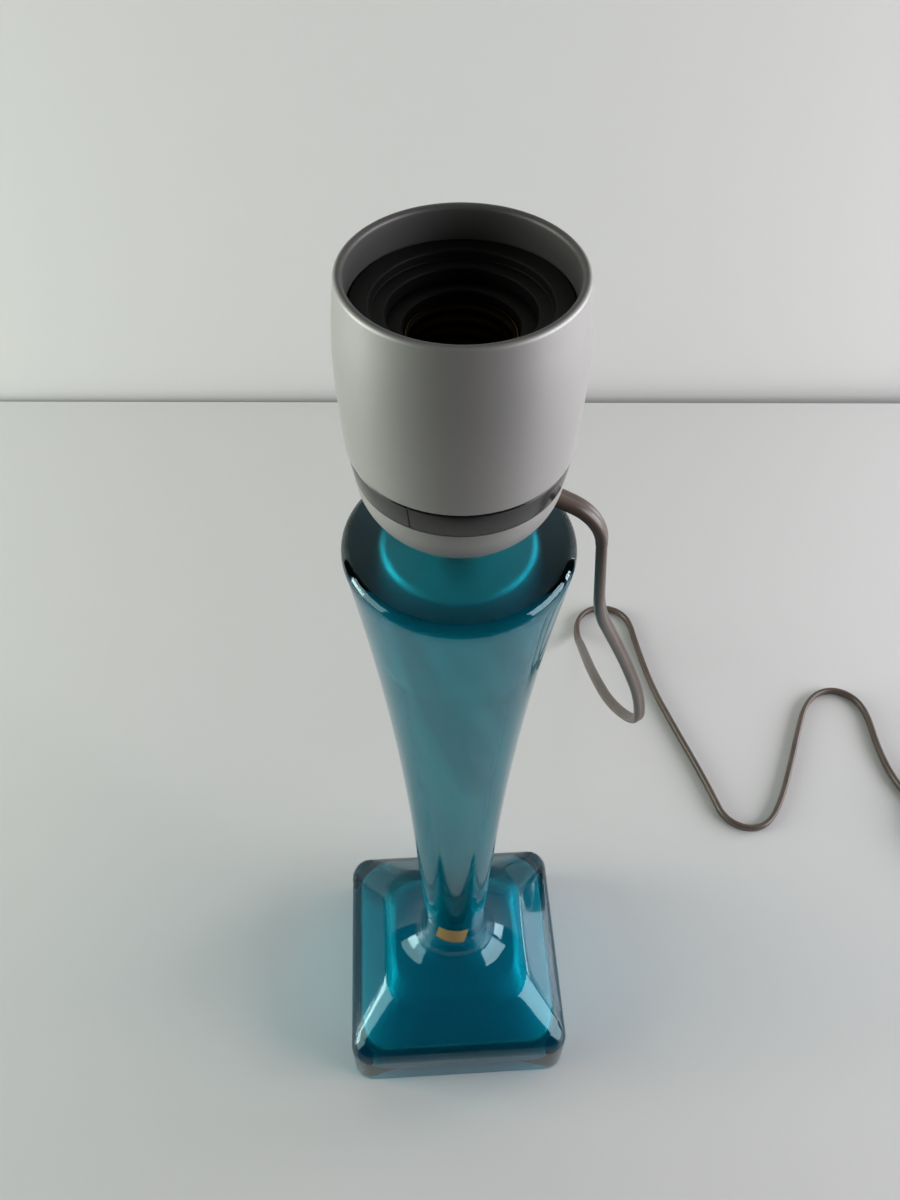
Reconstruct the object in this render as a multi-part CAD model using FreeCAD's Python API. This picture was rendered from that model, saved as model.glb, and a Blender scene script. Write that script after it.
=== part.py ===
import FreeCAD, Part
import math
import os
from FreeCAD import Vector as V

# A table lamp of blown glass: a square foot, a slim waist and a trumpet shaft with a closed
# shoulder. A grey lampholder with a black turning switch ring stands on the neck, and a flat
# twin flex leaves it, hangs to the table and ends in a tied coil with a plug.
# Origin: the middle of the foot's underside. +Z is up, and the front of the lamp looks to -Y.

# Glass foot
foot_side = 116.0
foot_corner = 11.0
foot_wall = 34.0
foot_draft_angle = 1.0
foot_height = 70.0
foot_slope_angle = 50.0
foot_corner_growth = 0.3
foot_edge_round = 3.5
foot_crease_round = 9.0
foot_cove_round = 4.0
foot_glass = 12.0
foot_floor = 12.0
foot_hollow_height = 56.0
foot_hollow_corner = 9.0
foot_hollow_round = 5.0
foot_recess_r = 42.0
foot_recess_depth = 1.0
passage_r = 3.0

# Glass shaft
cove_height = 10.0
cove_r = 27.8
cove_depth = 22.0
waist_r = 15.2
shaft_length = 291.5
shaft_top_r = 35.6
flare_straight_share = 0.42
waist_wall = 6.4
shaft_wall = 8.0
rim_round = 3.8
shoulder_rise = 3.0
shoulder_thickness = 3.2
bore_roof_drop = 3.0
bore_roof_round = 7.0
bore_end = 24.0
bore_taper = 69.0
neck_r = 11.2
neck_height = 6.7
neck_bore_r = 7.5

# Label on the glass
label_width = 15.5
label_height = 16.0
label_thickness = 0.15
label_gap = 0.25
label_above_waist = 15.0
label_turn = -99.0
label_tilt = 8.0

# Fixing in the neck
thread_r = 5.0
thread_bore_r = 3.6
thread_play = 0.05
thread_length = 49.0
thread_above_neck = 17.5
bung_clearance = 0.15
bung_length = 20.0
bung_washer_r = 7.0
bung_washer_thickness = 1.2
bung_nut_flats = 12.0
bung_nut_height = 4.0
seat_gap = 0.05
neck_washer_thickness = 1.0
dome_washer_r = 8.4
dome_washer_thickness = 0.8
locknut_flats = 14.0
locknut_height = 3.0

# Lower dome
dome_top_r = 29.3
dome_seat_r = 9.0
dome_height = 20.8
dome_wall = 1.2
dome_hole_r = 5.3

# Switch ring
part_gap = 0.3
ring_height = 8.6
ring_bottom_r = 29.4
ring_top_r = 30.7
ring_inner_r = 27.3
ring_play = 0.06
ring_mark_turn = -119.5
ring_mark_width = 0.5
ring_mark_depth = 0.4
lug_turn = 195.0
lug_width = 7.0
lug_height = 5.0
lug_inner_r = 16.9
switch_travel = 40.0
wiper_thickness = 0.8
wiper_width = 5.0
contact_thickness = 0.6
contact_gap = 0.2

# Terminal block
block_core_r = 20.4
block_height = 12.0
block_boss_r = 9.0
block_boss_height = 7.0
pocket_inner_r = 15.0
pocket_margin = 15.0
terminal_pitch = 18.0
terminal_x = 11.5
terminal_head_r = 2.6
terminal_head_height = 1.8
terminal_shank_r = 1.5
terminal_shank_length = 6.0

# Upper cup
cup_height = 49.6
cup_bottom_r = 31.0
cup_belly_r = 31.8
cup_rim_r = 30.0
cup_inner_r = 27.6
cup_floor = 2.4
cup_floor_hole_r = 12.0
cup_bottom_round = 0.8

# Lampholder
body_r = 19.8
shell_play = 0.3
shell_ledge = 6.7
ledge_play = 0.25
body_floor = 2.7
body_height = 32.0
body_rim_round = 1.0
shell_inner_r = 13.4
shell_wall = 0.6
shell_length = 20.0
fixing_pitch = 22.0
fixing_head_r = 2.0
fixing_head_height = 1.4
fixing_shank_r = 1.4
fixing_length = 10.0
tongue_width = 6.0
tongue_thickness = 0.5
tongue_root_x = -7.8
tongue_rise = 5.6
tongue_eye_r = 0.5
tongue_tip_x = 3.6
tongue_swing = 10.0
foot_plate_length = 4.2
foot_plate_gap = 0.2
rivet_r = 1.5
rivet_height = 0.7

# Shade ring
shade_ring_r = 27.2
shade_ring_depth = 8.6
shade_ring_height = 8.4
shade_ring_step_r = 22.0
shade_ring_step = 2.7
shade_ring_mouth_r = 18.3
shade_ring_skirt_wall = 2.4
shade_ring_skirt = 10.0

# Flex, its sleeve and its plug
flex_d = 5.6
exit_turn = -12.0
exit_drop = 10.0
exit_tilt = 25.0
sleeve_hole_play = 0.2
sleeve_neck_r = 3.4
sleeve_flange_r = 5.0
sleeve_flange_thickness = 1.4
sleeve_inner_gap = 1.1
sleeve_outer_gap = 0.4
sleeve_collar = 1.8
sleeve_straight = 3.8
sleeve_root_r = 3.9
sleeve_tip_r = 3.2
sleeve_bend_r = 17.0
sleeve_bend = 60.0
core_r = 1.1
coil_r = 36.0
coil_pitch = 6.2
coil_layer_rise = 6.2
coil_turns_in = 2
coil_lift = 1.0
coil_lead = 33.0
flex_rest = 0.05
plug_length = 38.0
plug_width = 30.0
plug_thickness = 20.0
plug_neck_r = 4.6
plug_neck_length = 8.0
pin_r = 2.0
pin_pitch = 19.0
pin_length = 19.0
tie_wall = 0.8
tie_width = 5.0
tie_gap = 0.1
tie_turn = 115.0

# Heights that follow from the sizes above
waist_z = foot_height + cove_height
rim_z = waist_z + shaft_length
shoulder_z = rim_z + rim_round
neck_top = shoulder_z + shoulder_rise + neck_height
dome_z = neck_top + neck_washer_thickness
dome_top_z = dome_z + dome_height
ring_z = dome_top_z + part_gap
cup_z = ring_z + ring_height + part_gap
cup_top_z = cup_z + cup_height
body_z = cup_z + cup_floor
floor_z = body_z + body_floor + seat_gap
ledge_z = floor_z + shell_ledge
shell_z = ledge_z + seat_gap
tongue_z = floor_z + seat_gap
tongue_axis_z = tongue_z + tongue_eye_r
block_r = ring_inner_r - ring_play
block_top = cup_z
block_z = block_top - block_height
thread_top = neck_top + thread_above_neck
flex_r = flex_d / 2
flex_z = flex_r + flex_rest
coil_z = flex_z + coil_lift


def disc(radius, low, high, x=0.0, y=0.0):
    return Part.makeCylinder(radius, high - low, V(x, y, low))


def tube(outer, inner, low, high):
    return disc(outer, low, high).cut(disc(inner, low - 1, high + 1))


def revolve(edges):
    face = Part.Face(Part.Wire(edges))
    return face.revolve(V(0, 0, 0), V(0, 0, 1), 360)


def at(radius, height):
    return V(radius, 0, height)


def line(a, b):
    return Part.LineSegment(a, b).toShape()


def arc(a, middle, b):
    return Part.Arc(a, middle, b).toShape()


def lines(points):
    return [line(a, b) for a, b in zip(points, points[1:])]


def spline(points):
    curve = Part.BSplineCurve()
    curve.interpolate(points)
    return curve.toShape()


def quarter(a, corner, b):
    """A quarter round from a to b, where corner is the sharp corner that it takes off."""
    middle = corner + ((a - corner) + (b - corner)) * (1 - math.sqrt(0.5))
    return arc(a, middle, b)


def hexagon(flats, low, high, hole):
    corner_r = flats / math.sqrt(3)
    points = [V(corner_r * math.cos(math.radians(60 * i)), corner_r * math.sin(math.radians(60 * i)), low)
              for i in range(7)]
    prism = Part.Face(Part.makePolygon(points)).extrude(V(0, 0, high - low))
    return prism.cut(disc(hole, low - 1, high + 1))


def turned(shape, angle):
    copy = shape.copy()
    copy.rotate(V(0, 0, 0), V(0, 0, 1), angle)
    return copy


def block(x0, x1, y0, y1, z0, z1):
    return Part.makeBox(x1 - x0, y1 - y0, z1 - z0, V(x0, y0, z0))


def sector(outer, inner, low, high, start, stop):
    """The part of a tube between two angles about +Z, in degrees."""
    piece = Part.makeCylinder(outer, high - low, V(0, 0, low), V(0, 0, 1), stop - start)
    piece.rotate(V(0, 0, 0), V(0, 0, 1), start)
    return piece.cut(disc(inner, low - 1, high + 1))


# Glass body

def rounded_square(half, corner, height):
    side = half - corner
    edges = []
    for k in range(4):
        turn = FreeCAD.Rotation(V(0, 0, 1), 90 * k)
        start, end = V(half, -side, height), V(half, side, height)
        bend = V(side + corner * math.sqrt(0.5), side + corner * math.sqrt(0.5), height)
        edges.append(line(turn.multVec(start), turn.multVec(end)))
        edges.append(arc(turn.multVec(end), turn.multVec(bend), turn.multVec(V(side, half, height))))
    return Part.Wire(edges)


def shaft_radius(share):
    """The trumpet's outer radius: a straight part and a cubic part of the share of its length."""
    rise = flare_straight_share * share + (1 - flare_straight_share) * share**3
    return waist_r + (shaft_top_r - waist_r) * rise


def foot_shape(half, corner, low, crease, high):
    """A square block with a drafted wall and faces that slope in over its crease, to rounder corners."""
    crease_half = half - (crease - low) * math.tan(math.radians(foot_draft_angle))
    top_half = crease_half - (high - crease) / math.tan(math.radians(foot_slope_angle))
    top_corner = min(corner + foot_corner_growth * (high - crease), top_half * 0.95)
    wall = Part.makeLoft([rounded_square(half, corner, low),
                          rounded_square(crease_half, corner, crease)], True, True)
    slope = Part.makeLoft([rounded_square(crease_half, corner, crease),
                           rounded_square(top_half, top_corner, high)], True, True)
    return wall.fuse(slope)


def rounded_levels(solid, rounds):
    """Rounds the edges that lie at given heights."""
    for height, size in rounds:
        level = [e for e in solid.Edges
                 if abs(e.BoundBox.ZMin - height) < 1e-4 and abs(e.BoundBox.ZMax - height) < 1e-4]
        solid = solid.makeFillet(size, level)
    return solid


def cove_points():
    """The cove over the foot, from its flat outer part up to the waist: steep at the top, flat below."""
    points = []
    for turn in (0, 18, 34, 48, 60, 70, 79, 90):
        out = 1 - math.cos(math.radians(turn))
        down = math.sin(math.radians(turn))
        points.append(at(waist_r + cove_r * out, waist_z - cove_depth * down))
    points.append(at(waist_r + cove_r + foot_side * 0.35, waist_z - cove_depth * 1.2))
    return points[::-1]


def glass_outside():
    """A turned body with a wide coved foot, of which the square foot leaves what lies inside it."""
    high = waist_z - cove_height
    foot = rounded_levels(foot_shape(foot_side / 2, foot_corner, 0, foot_wall, high),
                          ((foot_wall, foot_crease_round), (0, foot_edge_round)))
    limit = foot.fuse(disc(shaft_top_r + foot_corner, high - foot_cove_round, neck_top + foot_corner))
    steps = 5
    flare = [at(shaft_radius(i / steps), waist_z + shaft_length * i / steps) for i in range(steps + 1)]
    shoulder_r = shaft_top_r - rim_round
    neck_foot = shoulder_z + shoulder_rise
    neck_fillet = 2.5
    cove = cove_points()
    turned_body = revolve(
        [line(at(0, 0), at(cove[0].x, 0)), line(at(cove[0].x, 0), cove[0]), spline(cove),
         spline(flare),
         quarter(at(shaft_top_r, rim_z), at(shaft_top_r, shoulder_z), at(shoulder_r, shoulder_z)),
         line(at(shoulder_r, shoulder_z), at(neck_r + neck_fillet, neck_foot - 0.4)),
         quarter(at(neck_r + neck_fillet, neck_foot - 0.4), at(neck_r, neck_foot - 0.4),
                 at(neck_r, neck_foot + neck_fillet - 0.4)),
         line(at(neck_r, neck_foot + neck_fillet - 0.4), at(neck_r, neck_top)),
         line(at(neck_r, neck_top), at(0, neck_top)), line(at(0, neck_top), at(0, 0))])
    return turned_body.common(limit)


def glass_hollow():
    """The air inside: the shaft's bore, a narrow passage in the waist and a square hollow in the foot."""
    roof_z = shoulder_z + shoulder_rise - shoulder_thickness
    roof_edge_z = roof_z - bore_roof_drop
    top_z = roof_edge_z - bore_roof_round
    end_z = waist_z + bore_end

    def inner(z):
        share = (z - waist_z) / shaft_length
        return shaft_radius(share) - waist_wall - (shaft_wall - waist_wall) * share

    taper_z = end_z + bore_taper
    wall = [at(passage_r + (inner(taper_z) - passage_r) * share**0.6, end_z + bore_taper * share)
            for share in (0, 0.07, 0.2, 0.4, 0.65)]
    wall += [at(inner(z), z) for z in (taper_z + (top_z - taper_z) * share / 4 for share in range(5))]
    top_r = wall[-1].x
    slant = bore_roof_drop * bore_roof_round / (top_r - neck_bore_r)
    roof_start = at(top_r - bore_roof_round, roof_edge_z + slant)
    bore = revolve(
        [line(at(0, foot_floor + 1), at(passage_r, foot_floor + 1)), line(at(passage_r, foot_floor + 1), wall[0]),
         spline(wall), quarter(wall[-1], at(top_r, roof_edge_z), roof_start),
         line(roof_start, at(neck_bore_r, roof_z)), line(at(neck_bore_r, roof_z), at(neck_bore_r, neck_top + 1)),
         line(at(neck_bore_r, neck_top + 1), at(0, neck_top + 1)), line(at(0, neck_top + 1), at(0, foot_floor + 1))])
    crease = foot_wall - foot_glass * math.tan(math.radians(90 - foot_slope_angle) / 2)
    room = foot_shape(foot_side / 2 - foot_glass, foot_hollow_corner, foot_floor, crease, foot_hollow_height)
    room = rounded_levels(room, ((foot_hollow_height, foot_hollow_round), (crease, foot_hollow_round),
                                 (foot_floor, foot_hollow_round)))
    return bore.fuse(room)


def glass_body():
    recess = disc(foot_recess_r, -1, foot_recess_depth)
    return glass_outside().cut(glass_hollow()).cut(recess)


def glass_label():
    """A paper label that follows the shaft, with a small tilt."""
    middle = waist_z + label_above_waist
    heights = (middle - label_height, middle, middle + label_height)
    inner = [at(shaft_radius((z - waist_z) / shaft_length) + label_gap, z) for z in heights]
    outer = [p + V(label_thickness, 0, 0) for p in inner]
    skin = revolve([spline(inner), line(inner[-1], outer[-1]), spline(outer), line(outer[0], inner[0])])
    window = block(0, 2 * waist_r, -label_width / 2, label_width / 2, -label_height / 2, label_height / 2)
    window.rotate(V(0, 0, 0), V(1, 0, 0), -label_tilt)
    window.translate(V(0, 0, middle))
    return skin.common(turned(window, label_turn))


# Fixing in the neck

bung_top = neck_top - seat_gap
bung_z = bung_top - bung_length
bung_washer_top = bung_z - seat_gap
bung_nut_top = bung_washer_top - bung_washer_thickness - seat_gap
dome_floor_top = dome_z + dome_wall
dome_washer_z = dome_floor_top + seat_gap
locknut_z = dome_washer_z + dome_washer_thickness + seat_gap


def rubber_bung():
    outer = neck_bore_r - bung_clearance
    return tube(outer, thread_r + thread_play, bung_z, bung_top)


def threaded_tube():
    return tube(thread_r, thread_bore_r, thread_top - thread_length, thread_top)


def bung_washer():
    return tube(bung_washer_r, thread_r + thread_play, bung_washer_top - bung_washer_thickness, bung_washer_top)


def bung_nut():
    return hexagon(bung_nut_flats, bung_nut_top - bung_nut_height, bung_nut_top, thread_r + thread_play)


def neck_washer():
    return tube(neck_r, thread_r + thread_play, neck_top + seat_gap, dome_z - seat_gap)


def dome_washer():
    return tube(dome_washer_r, thread_r + thread_play, dome_washer_z, dome_washer_z + dome_washer_thickness)


def dome_locknut():
    return hexagon(locknut_flats, locknut_z, locknut_z + locknut_height, thread_r + thread_play)


# Lower dome: a quarter ellipse that is turned about Z, with a flat seat

def dome_curve(outer_r, low):
    reach, rise = outer_r - dome_seat_r, dome_top_z - low
    points = [at(dome_seat_r + reach * math.cos(math.radians(a)), dome_top_z - rise * math.sin(math.radians(a)))
              for a in (90, 72, 54, 36, 18, 0)]
    curve = Part.BSplineCurve()
    curve.interpolate(Points=points, InitialTangent=V(1, 0, 0), FinalTangent=V(0, 0, 1))
    return curve.toShape(), points[0], points[-1]


# The flex leaves the dome along a line that drops below the horizontal
exit_out = V(math.cos(math.radians(exit_turn)), math.sin(math.radians(exit_turn)), 0)
exit_side = V(-exit_out.y, exit_out.x, 0)
exit_share = math.asin(exit_drop / dome_height)
exit_r = dome_seat_r + (dome_top_r - dome_seat_r) * math.cos(exit_share)
exit_point = exit_out * exit_r + V(0, 0, dome_top_z - exit_drop)
exit_way = exit_out * math.cos(math.radians(exit_tilt)) - V(0, 0, math.sin(math.radians(exit_tilt)))


def lower_dome():
    outer, outer_low, outer_high = dome_curve(dome_top_r, dome_z)
    inner, inner_low, inner_high = dome_curve(dome_top_r - dome_wall, dome_z + dome_wall)
    shell = revolve([line(at(dome_hole_r, dome_z), outer_low), outer, line(outer_high, inner_high), inner,
                     line(inner_low, at(dome_hole_r, dome_z + dome_wall)),
                     line(at(dome_hole_r, dome_z + dome_wall), at(dome_hole_r, dome_z))])
    hole = Part.makeCylinder(sleeve_neck_r + sleeve_hole_play, 16, exit_point - exit_way * 8, exit_way)
    return shell.cut(hole)


# Switch ring with its lug and wiper

lug_z = ring_z + (ring_height - lug_height) / 2


def switch_ring():
    top = ring_z + ring_height
    band = revolve(lines([at(ring_inner_r, ring_z), at(ring_bottom_r, ring_z), at(ring_top_r, top),
                          at(ring_inner_r, top), at(ring_inner_r, ring_z)]))
    lug = block(lug_inner_r, ring_inner_r + 0.5, -lug_width / 2, lug_width / 2, lug_z, lug_z + lug_height)
    mark = block(ring_bottom_r - ring_mark_depth, ring_top_r + 1, -ring_mark_width / 2, ring_mark_width / 2,
                 ring_z - 1, top + 1)
    return band.fuse(turned(lug, lug_turn)).cut(turned(mark, ring_mark_turn))


def switch_wiper():
    return turned(block(lug_inner_r - wiper_thickness, lug_inner_r, -wiper_width / 2, wiper_width / 2,
                        lug_z, lug_z + lug_height), lug_turn)


# Terminal block. The ring turns on its wide part, and the lug travels in a pocket that is open below

pocket_start = lug_turn - pocket_margin
pocket_stop = lug_turn + switch_travel + pocket_margin
pocket_top = lug_z + lug_height + 1.0


def terminal_block():
    core = disc(block_core_r, block_z, ring_z)
    wide = disc(block_r, ring_z, block_top - seat_gap)
    boss = disc(block_boss_r, block_z - block_boss_height, block_z)
    pocket = sector(block_r + 1, pocket_inner_r, block_z - 1, pocket_top, pocket_start, pocket_stop)
    bore = disc(thread_r + thread_play, block_z - block_boss_height - 1, thread_top + 1)
    solid = core.fuse([wide, boss]).removeSplitter().cut(pocket).cut(bore)
    for side in (-1, 1):
        solid = solid.cut(disc(terminal_shank_r + thread_play, block_z - 1, block_z + terminal_shank_length + 1,
                               terminal_x, side * terminal_pitch / 2))
        solid = solid.cut(disc(fixing_shank_r + thread_play, block_top - fixing_length, block_top + 1,
                               0, side * fixing_pitch / 2))
    return solid


def switch_contacts():
    """A long strip that the wiper always meets, and over it a short one that it meets when on."""
    inner = pocket_inner_r + contact_gap
    outer = inner + contact_thickness
    middle = lug_z + lug_height / 2
    wide = sector(outer, inner, lug_z, middle - 0.4, lug_turn - 8, lug_turn + switch_travel + 8)
    short = sector(outer, inner, middle + 0.4, lug_z + lug_height,
                   lug_turn + switch_travel - 8, lug_turn + switch_travel + 8)
    return Part.makeCompound([wide, short])


def terminal_screws():
    screws = []
    for side in (-1, 1):
        x, y = terminal_x, side * terminal_pitch / 2
        head = disc(terminal_head_r, block_z - seat_gap - terminal_head_height, block_z - seat_gap, x, y)
        shank = disc(terminal_shank_r, block_z - seat_gap, block_z + terminal_shank_length, x, y)
        screws.append(head.fuse(shank).removeSplitter())
    return Part.makeCompound(screws)


# Upper cup: a slightly bellied wall, a rounded lip and a floor

def upper_cup():
    wall = cup_rim_r - cup_inner_r
    lip = at((cup_rim_r + cup_inner_r) / 2, cup_top_z)
    side_top = at(cup_rim_r, cup_top_z - wall / 2)
    side = spline([at(cup_bottom_r, cup_z + cup_bottom_round), at(cup_belly_r, cup_z + cup_height * 0.42),
                   at(cup_belly_r - 0.35, cup_z + cup_height * 0.7), side_top])
    return revolve([
        line(at(cup_floor_hole_r, cup_z), at(cup_bottom_r - cup_bottom_round, cup_z)),
        quarter(at(cup_bottom_r - cup_bottom_round, cup_z), at(cup_bottom_r, cup_z),
                at(cup_bottom_r, cup_z + cup_bottom_round)),
        side, arc(side_top, lip, at(cup_inner_r, cup_top_z - wall / 2)),
        line(at(cup_inner_r, cup_top_z - wall / 2), at(cup_inner_r, cup_z + cup_floor)),
        line(at(cup_inner_r, cup_z + cup_floor), at(cup_floor_hole_r, cup_z + cup_floor)),
        line(at(cup_floor_hole_r, cup_z + cup_floor), at(cup_floor_hole_r, cup_z))])


def cup_with_holes():
    cup = upper_cup()
    for side in (-1, 1):
        cup = cup.cut(disc(fixing_shank_r + thread_play, cup_z - 1, cup_z + cup_floor + 1,
                           0, side * fixing_pitch / 2))
    return cup


# Lampholder

def lampholder_body():
    low, high = body_z + seat_gap, body_z + body_height
    inner = shell_inner_r + shell_wall + shell_play
    hollow = shell_inner_r + ledge_play
    rim = body_rim_round
    body = revolve(
        [line(at(0, low), at(body_r, low)), line(at(body_r, low), at(body_r, high - rim)),
         quarter(at(body_r, high - rim), at(body_r, high), at(body_r - rim, high)),
         line(at(body_r - rim, high), at(inner, high)), line(at(inner, high), at(inner, ledge_z)),
         line(at(inner, ledge_z), at(hollow, ledge_z)), line(at(hollow, ledge_z), at(hollow, floor_z)),
         line(at(hollow, floor_z), at(0, floor_z)), line(at(0, floor_z), at(0, low))])
    for side in (-1, 1):
        body = body.cut(disc(fixing_shank_r + thread_play, low - 1, floor_z + 1, 0, side * fixing_pitch / 2))
    return body


def fixing_screws():
    screws = []
    top = floor_z + seat_gap
    for side in (-1, 1):
        y = side * fixing_pitch / 2
        head = disc(fixing_head_r, top, top + fixing_head_height, 0, y)
        shank = disc(fixing_shank_r, block_top - fixing_length + 1, top, 0, y)
        screws.append(head.fuse(shank).removeSplitter())
    return Part.makeCompound(screws)


def screw_shell():
    return tube(shell_inner_r + shell_wall, shell_inner_r, shell_z, shell_z + shell_length)


def strip(points, width):
    """A bent strip: a closed outline in the XZ plane, given as x and z pairs, drawn out along Y."""
    outline = [V(x, -width / 2, z) for x, z in points]
    return Part.Face(Part.makePolygon(outline + outline[:1])).extrude(V(0, width, 0))


def contact_tongue():
    """The sprung centre contact: it rises from a rolled root to a crown over the axis."""
    root, turn, t = tongue_root_x, tongue_axis_z, tongue_thickness
    crown = tongue_z + tongue_rise
    leaf = strip([(root, turn - t / 2), (-1.2, crown - t), (1.2, crown - t),
                  (tongue_tip_x, crown - 2 * t), (tongue_tip_x, crown - t), (1.2, crown), (-1.6, crown),
                  (root, turn + t / 2)], tongue_width)
    eye = Part.makeCylinder(tongue_eye_r, tongue_width, V(root, -tongue_width / 2, turn), V(0, 1, 0))
    return leaf.fuse(eye).removeSplitter()


def contact_foot():
    stop = tongue_root_x - tongue_eye_r - foot_plate_gap
    plate = block(stop - foot_plate_length, stop, -tongue_width / 2, tongue_width / 2,
                  tongue_z, tongue_z + tongue_thickness)
    rivet = disc(rivet_r, tongue_z + tongue_thickness / 2, tongue_z + tongue_thickness + rivet_height,
                 stop - foot_plate_length / 2, 0)
    return plate.fuse(rivet)


def shade_ring():
    """A stepped black ring with a threaded skirt that goes over the lampholder's rim."""
    inner = body_r + part_gap
    top = cup_top_z - shade_ring_depth
    low = top - shade_ring_height
    mouth_z = body_z + body_height + part_gap
    skirt_r = inner + shade_ring_skirt_wall
    return revolve(lines([
        at(inner, low - shade_ring_skirt), at(skirt_r, low - shade_ring_skirt), at(skirt_r, low),
        at(shade_ring_r - 1, low), at(shade_ring_r, low + 1), at(shade_ring_r, top),
        at(shade_ring_step_r, top), at(shade_ring_step_r, top - shade_ring_step),
        at(shade_ring_mouth_r, top - shade_ring_step), at(shade_ring_mouth_r, mouth_z),
        at(inner, mouth_z), at(inner, low - shade_ring_skirt)]))


# Flex: straight runs joined by tangent arcs

def flex_path(points, share=0.45):
    """Edges along the route, and the arcs' radii: each arc takes a share of its shorter run."""
    edges, radii = [], []
    here = points[0]
    for before, corner, after in zip(points, points[1:], points[2:]):
        way_in, way_out = (corner - before), (after - corner)
        reach = share * min(way_in.Length, way_out.Length)
        half_turn = way_in.getAngle(way_out) / 2
        radii.append(reach / math.tan(half_turn))
        start = corner - way_in.normalize() * reach
        end = corner + way_out.normalize() * reach
        inward = (way_out - way_in).normalize()
        middle = corner + inward * (radii[-1] / math.cos(half_turn) - radii[-1])
        edges += [line(here, start), arc(start, middle, end)]
        here = end
    edges.append(line(here, points[-1]))
    return edges, radii


def pipe(edges, radius):
    path = Part.Wire(edges)
    start = path.Edges[0].valueAt(path.Edges[0].FirstParameter)
    way = path.Edges[0].tangentAt(path.Edges[0].FirstParameter)
    section = Part.Wire([Part.Circle(start, way, radius).toShape()])
    return path.makePipeShell([section], True, False), path.Length


sleeve_bend_start = exit_point + exit_way * (sleeve_outer_gap + sleeve_collar + sleeve_straight)


def sleeve_bend_point(angle):
    """A point on the sleeve's bend, which turns down from the exit's own way, and its direction."""
    a0, a1 = math.radians(exit_tilt), math.radians(exit_tilt + angle)
    step = exit_out * (math.sin(a1) - math.sin(a0)) + V(0, 0, math.cos(a1) - math.cos(a0))
    return sleeve_bend_start + step * sleeve_bend_r, exit_out * math.cos(a1) - V(0, 0, math.sin(a1))


sleeve_end, sleeve_way = sleeve_bend_point(sleeve_bend)


def cord_sleeve():
    inner_end = exit_point - exit_way * (dome_wall + sleeve_inner_gap + sleeve_flange_thickness)
    collar_start = exit_point + exit_way * sleeve_outer_gap
    flange = Part.makeCylinder(sleeve_flange_r, sleeve_flange_thickness, inner_end, exit_way)
    neck = Part.makeCylinder(sleeve_neck_r, (collar_start - inner_end).Length, inner_end, exit_way)
    collar = Part.makeCylinder(sleeve_flange_r, sleeve_collar, collar_start, exit_way)
    root = collar_start + exit_way * sleeve_collar
    path = Part.Wire([line(root, sleeve_bend_start),
                      arc(sleeve_bend_start, sleeve_bend_point(sleeve_bend / 2)[0], sleeve_end)])
    first = Part.Wire([Part.Circle(root, exit_way, sleeve_root_r).toShape()])
    last = Part.Wire([Part.Circle(sleeve_end, sleeve_way, sleeve_tip_r).toShape()])
    taper = path.makePipeShell([first, last], True, False)
    return flange.fuse([neck, collar, taper])


# The flex's route, chosen point by point: down from the sleeve in a slack curve that lands
# behind the lamp, then over the table in a loose loop, a narrow bend and a wide one.
coil_x, coil_y = 345.0, 72.0
route = [
    sleeve_end, sleeve_end + sleeve_way * 15, V(45.5, -3.5, 341), V(55, 6.5, 314), V(66.5, 17.5, 281),
    V(79, 27, 243), V(87, 38.5, 201.5), V(84, 74, 164.5), V(85, 117.5, 130.5), V(91.5, 161.5, 87),
    V(98.5, 202, 44.5), V(103.5, 223.5, 17), V(105.5, 240.5, flex_z), V(107.5, 254, flex_z),
    V(116, 263, flex_z), V(128, 265.5, flex_z), V(139.5, 261, flex_z), V(146.5, 251, flex_z),
    V(148, 229.5, flex_z), V(152.5, 192, flex_z), V(162, 157, flex_z), V(171, 126.5, flex_z),
    V(177, 103.5, flex_z), V(180.5, 87, flex_z), V(193.5, 78, flex_z), V(208.5, 80.5, flex_z),
    V(221.5, 97.5, flex_z), V(235.5, 125, flex_z), V(249, 153.5, flex_z), V(257.5, 169.5, flex_z),
    V(269, 180, flex_z), V(283.5, 181.5, flex_z), V(295, 173, flex_z), V(299, 158.5, flex_z),
    V(297.5, 132, flex_z), V(300.5, 106.5, flex_z), V(309, 88.5, coil_z), V(coil_x - coil_r, coil_y, coil_z)]


def flex_free():
    edges, radii = flex_path(route)
    solid, length = pipe(edges, flex_r)
    print("flex, free stretch: length", round(length, 1), "volume over section times length",
          round(solid.Volume / (math.pi * flex_r**2 * length), 4))
    print("flex radii in diameters:", [round(r / flex_d, 1) for r in radii])
    return solid, length


# Coil: turns that spiral in on the table, climb a layer in half a turn and spiral out on top

def coil_point(turns):
    """A point of the coil and its direction, after so many turns from the entry."""
    turning = coil_turns_in + 0.25
    inner_r = coil_r - coil_pitch * turning
    radius = inner_r + coil_pitch * abs(turns - turning)
    slope = coil_pitch * (0 if turns == turning else math.copysign(1, turns - turning))
    share = min(max((turns - coil_turns_in) / 0.5, 0), 1)
    height = coil_layer_rise * (1 - math.cos(math.pi * share)) / 2
    climb = coil_layer_rise * math.pi * math.sin(math.pi * share)
    angle = math.pi + 2 * math.pi * turns
    out = V(math.cos(angle), math.sin(angle), 0)
    along = V(-math.sin(angle), math.cos(angle), 0)
    place = V(coil_x, coil_y, coil_z + height) + out * radius
    return place, (along * (2 * math.pi * radius) + out * slope + V(0, 0, climb)).normalize()


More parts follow.
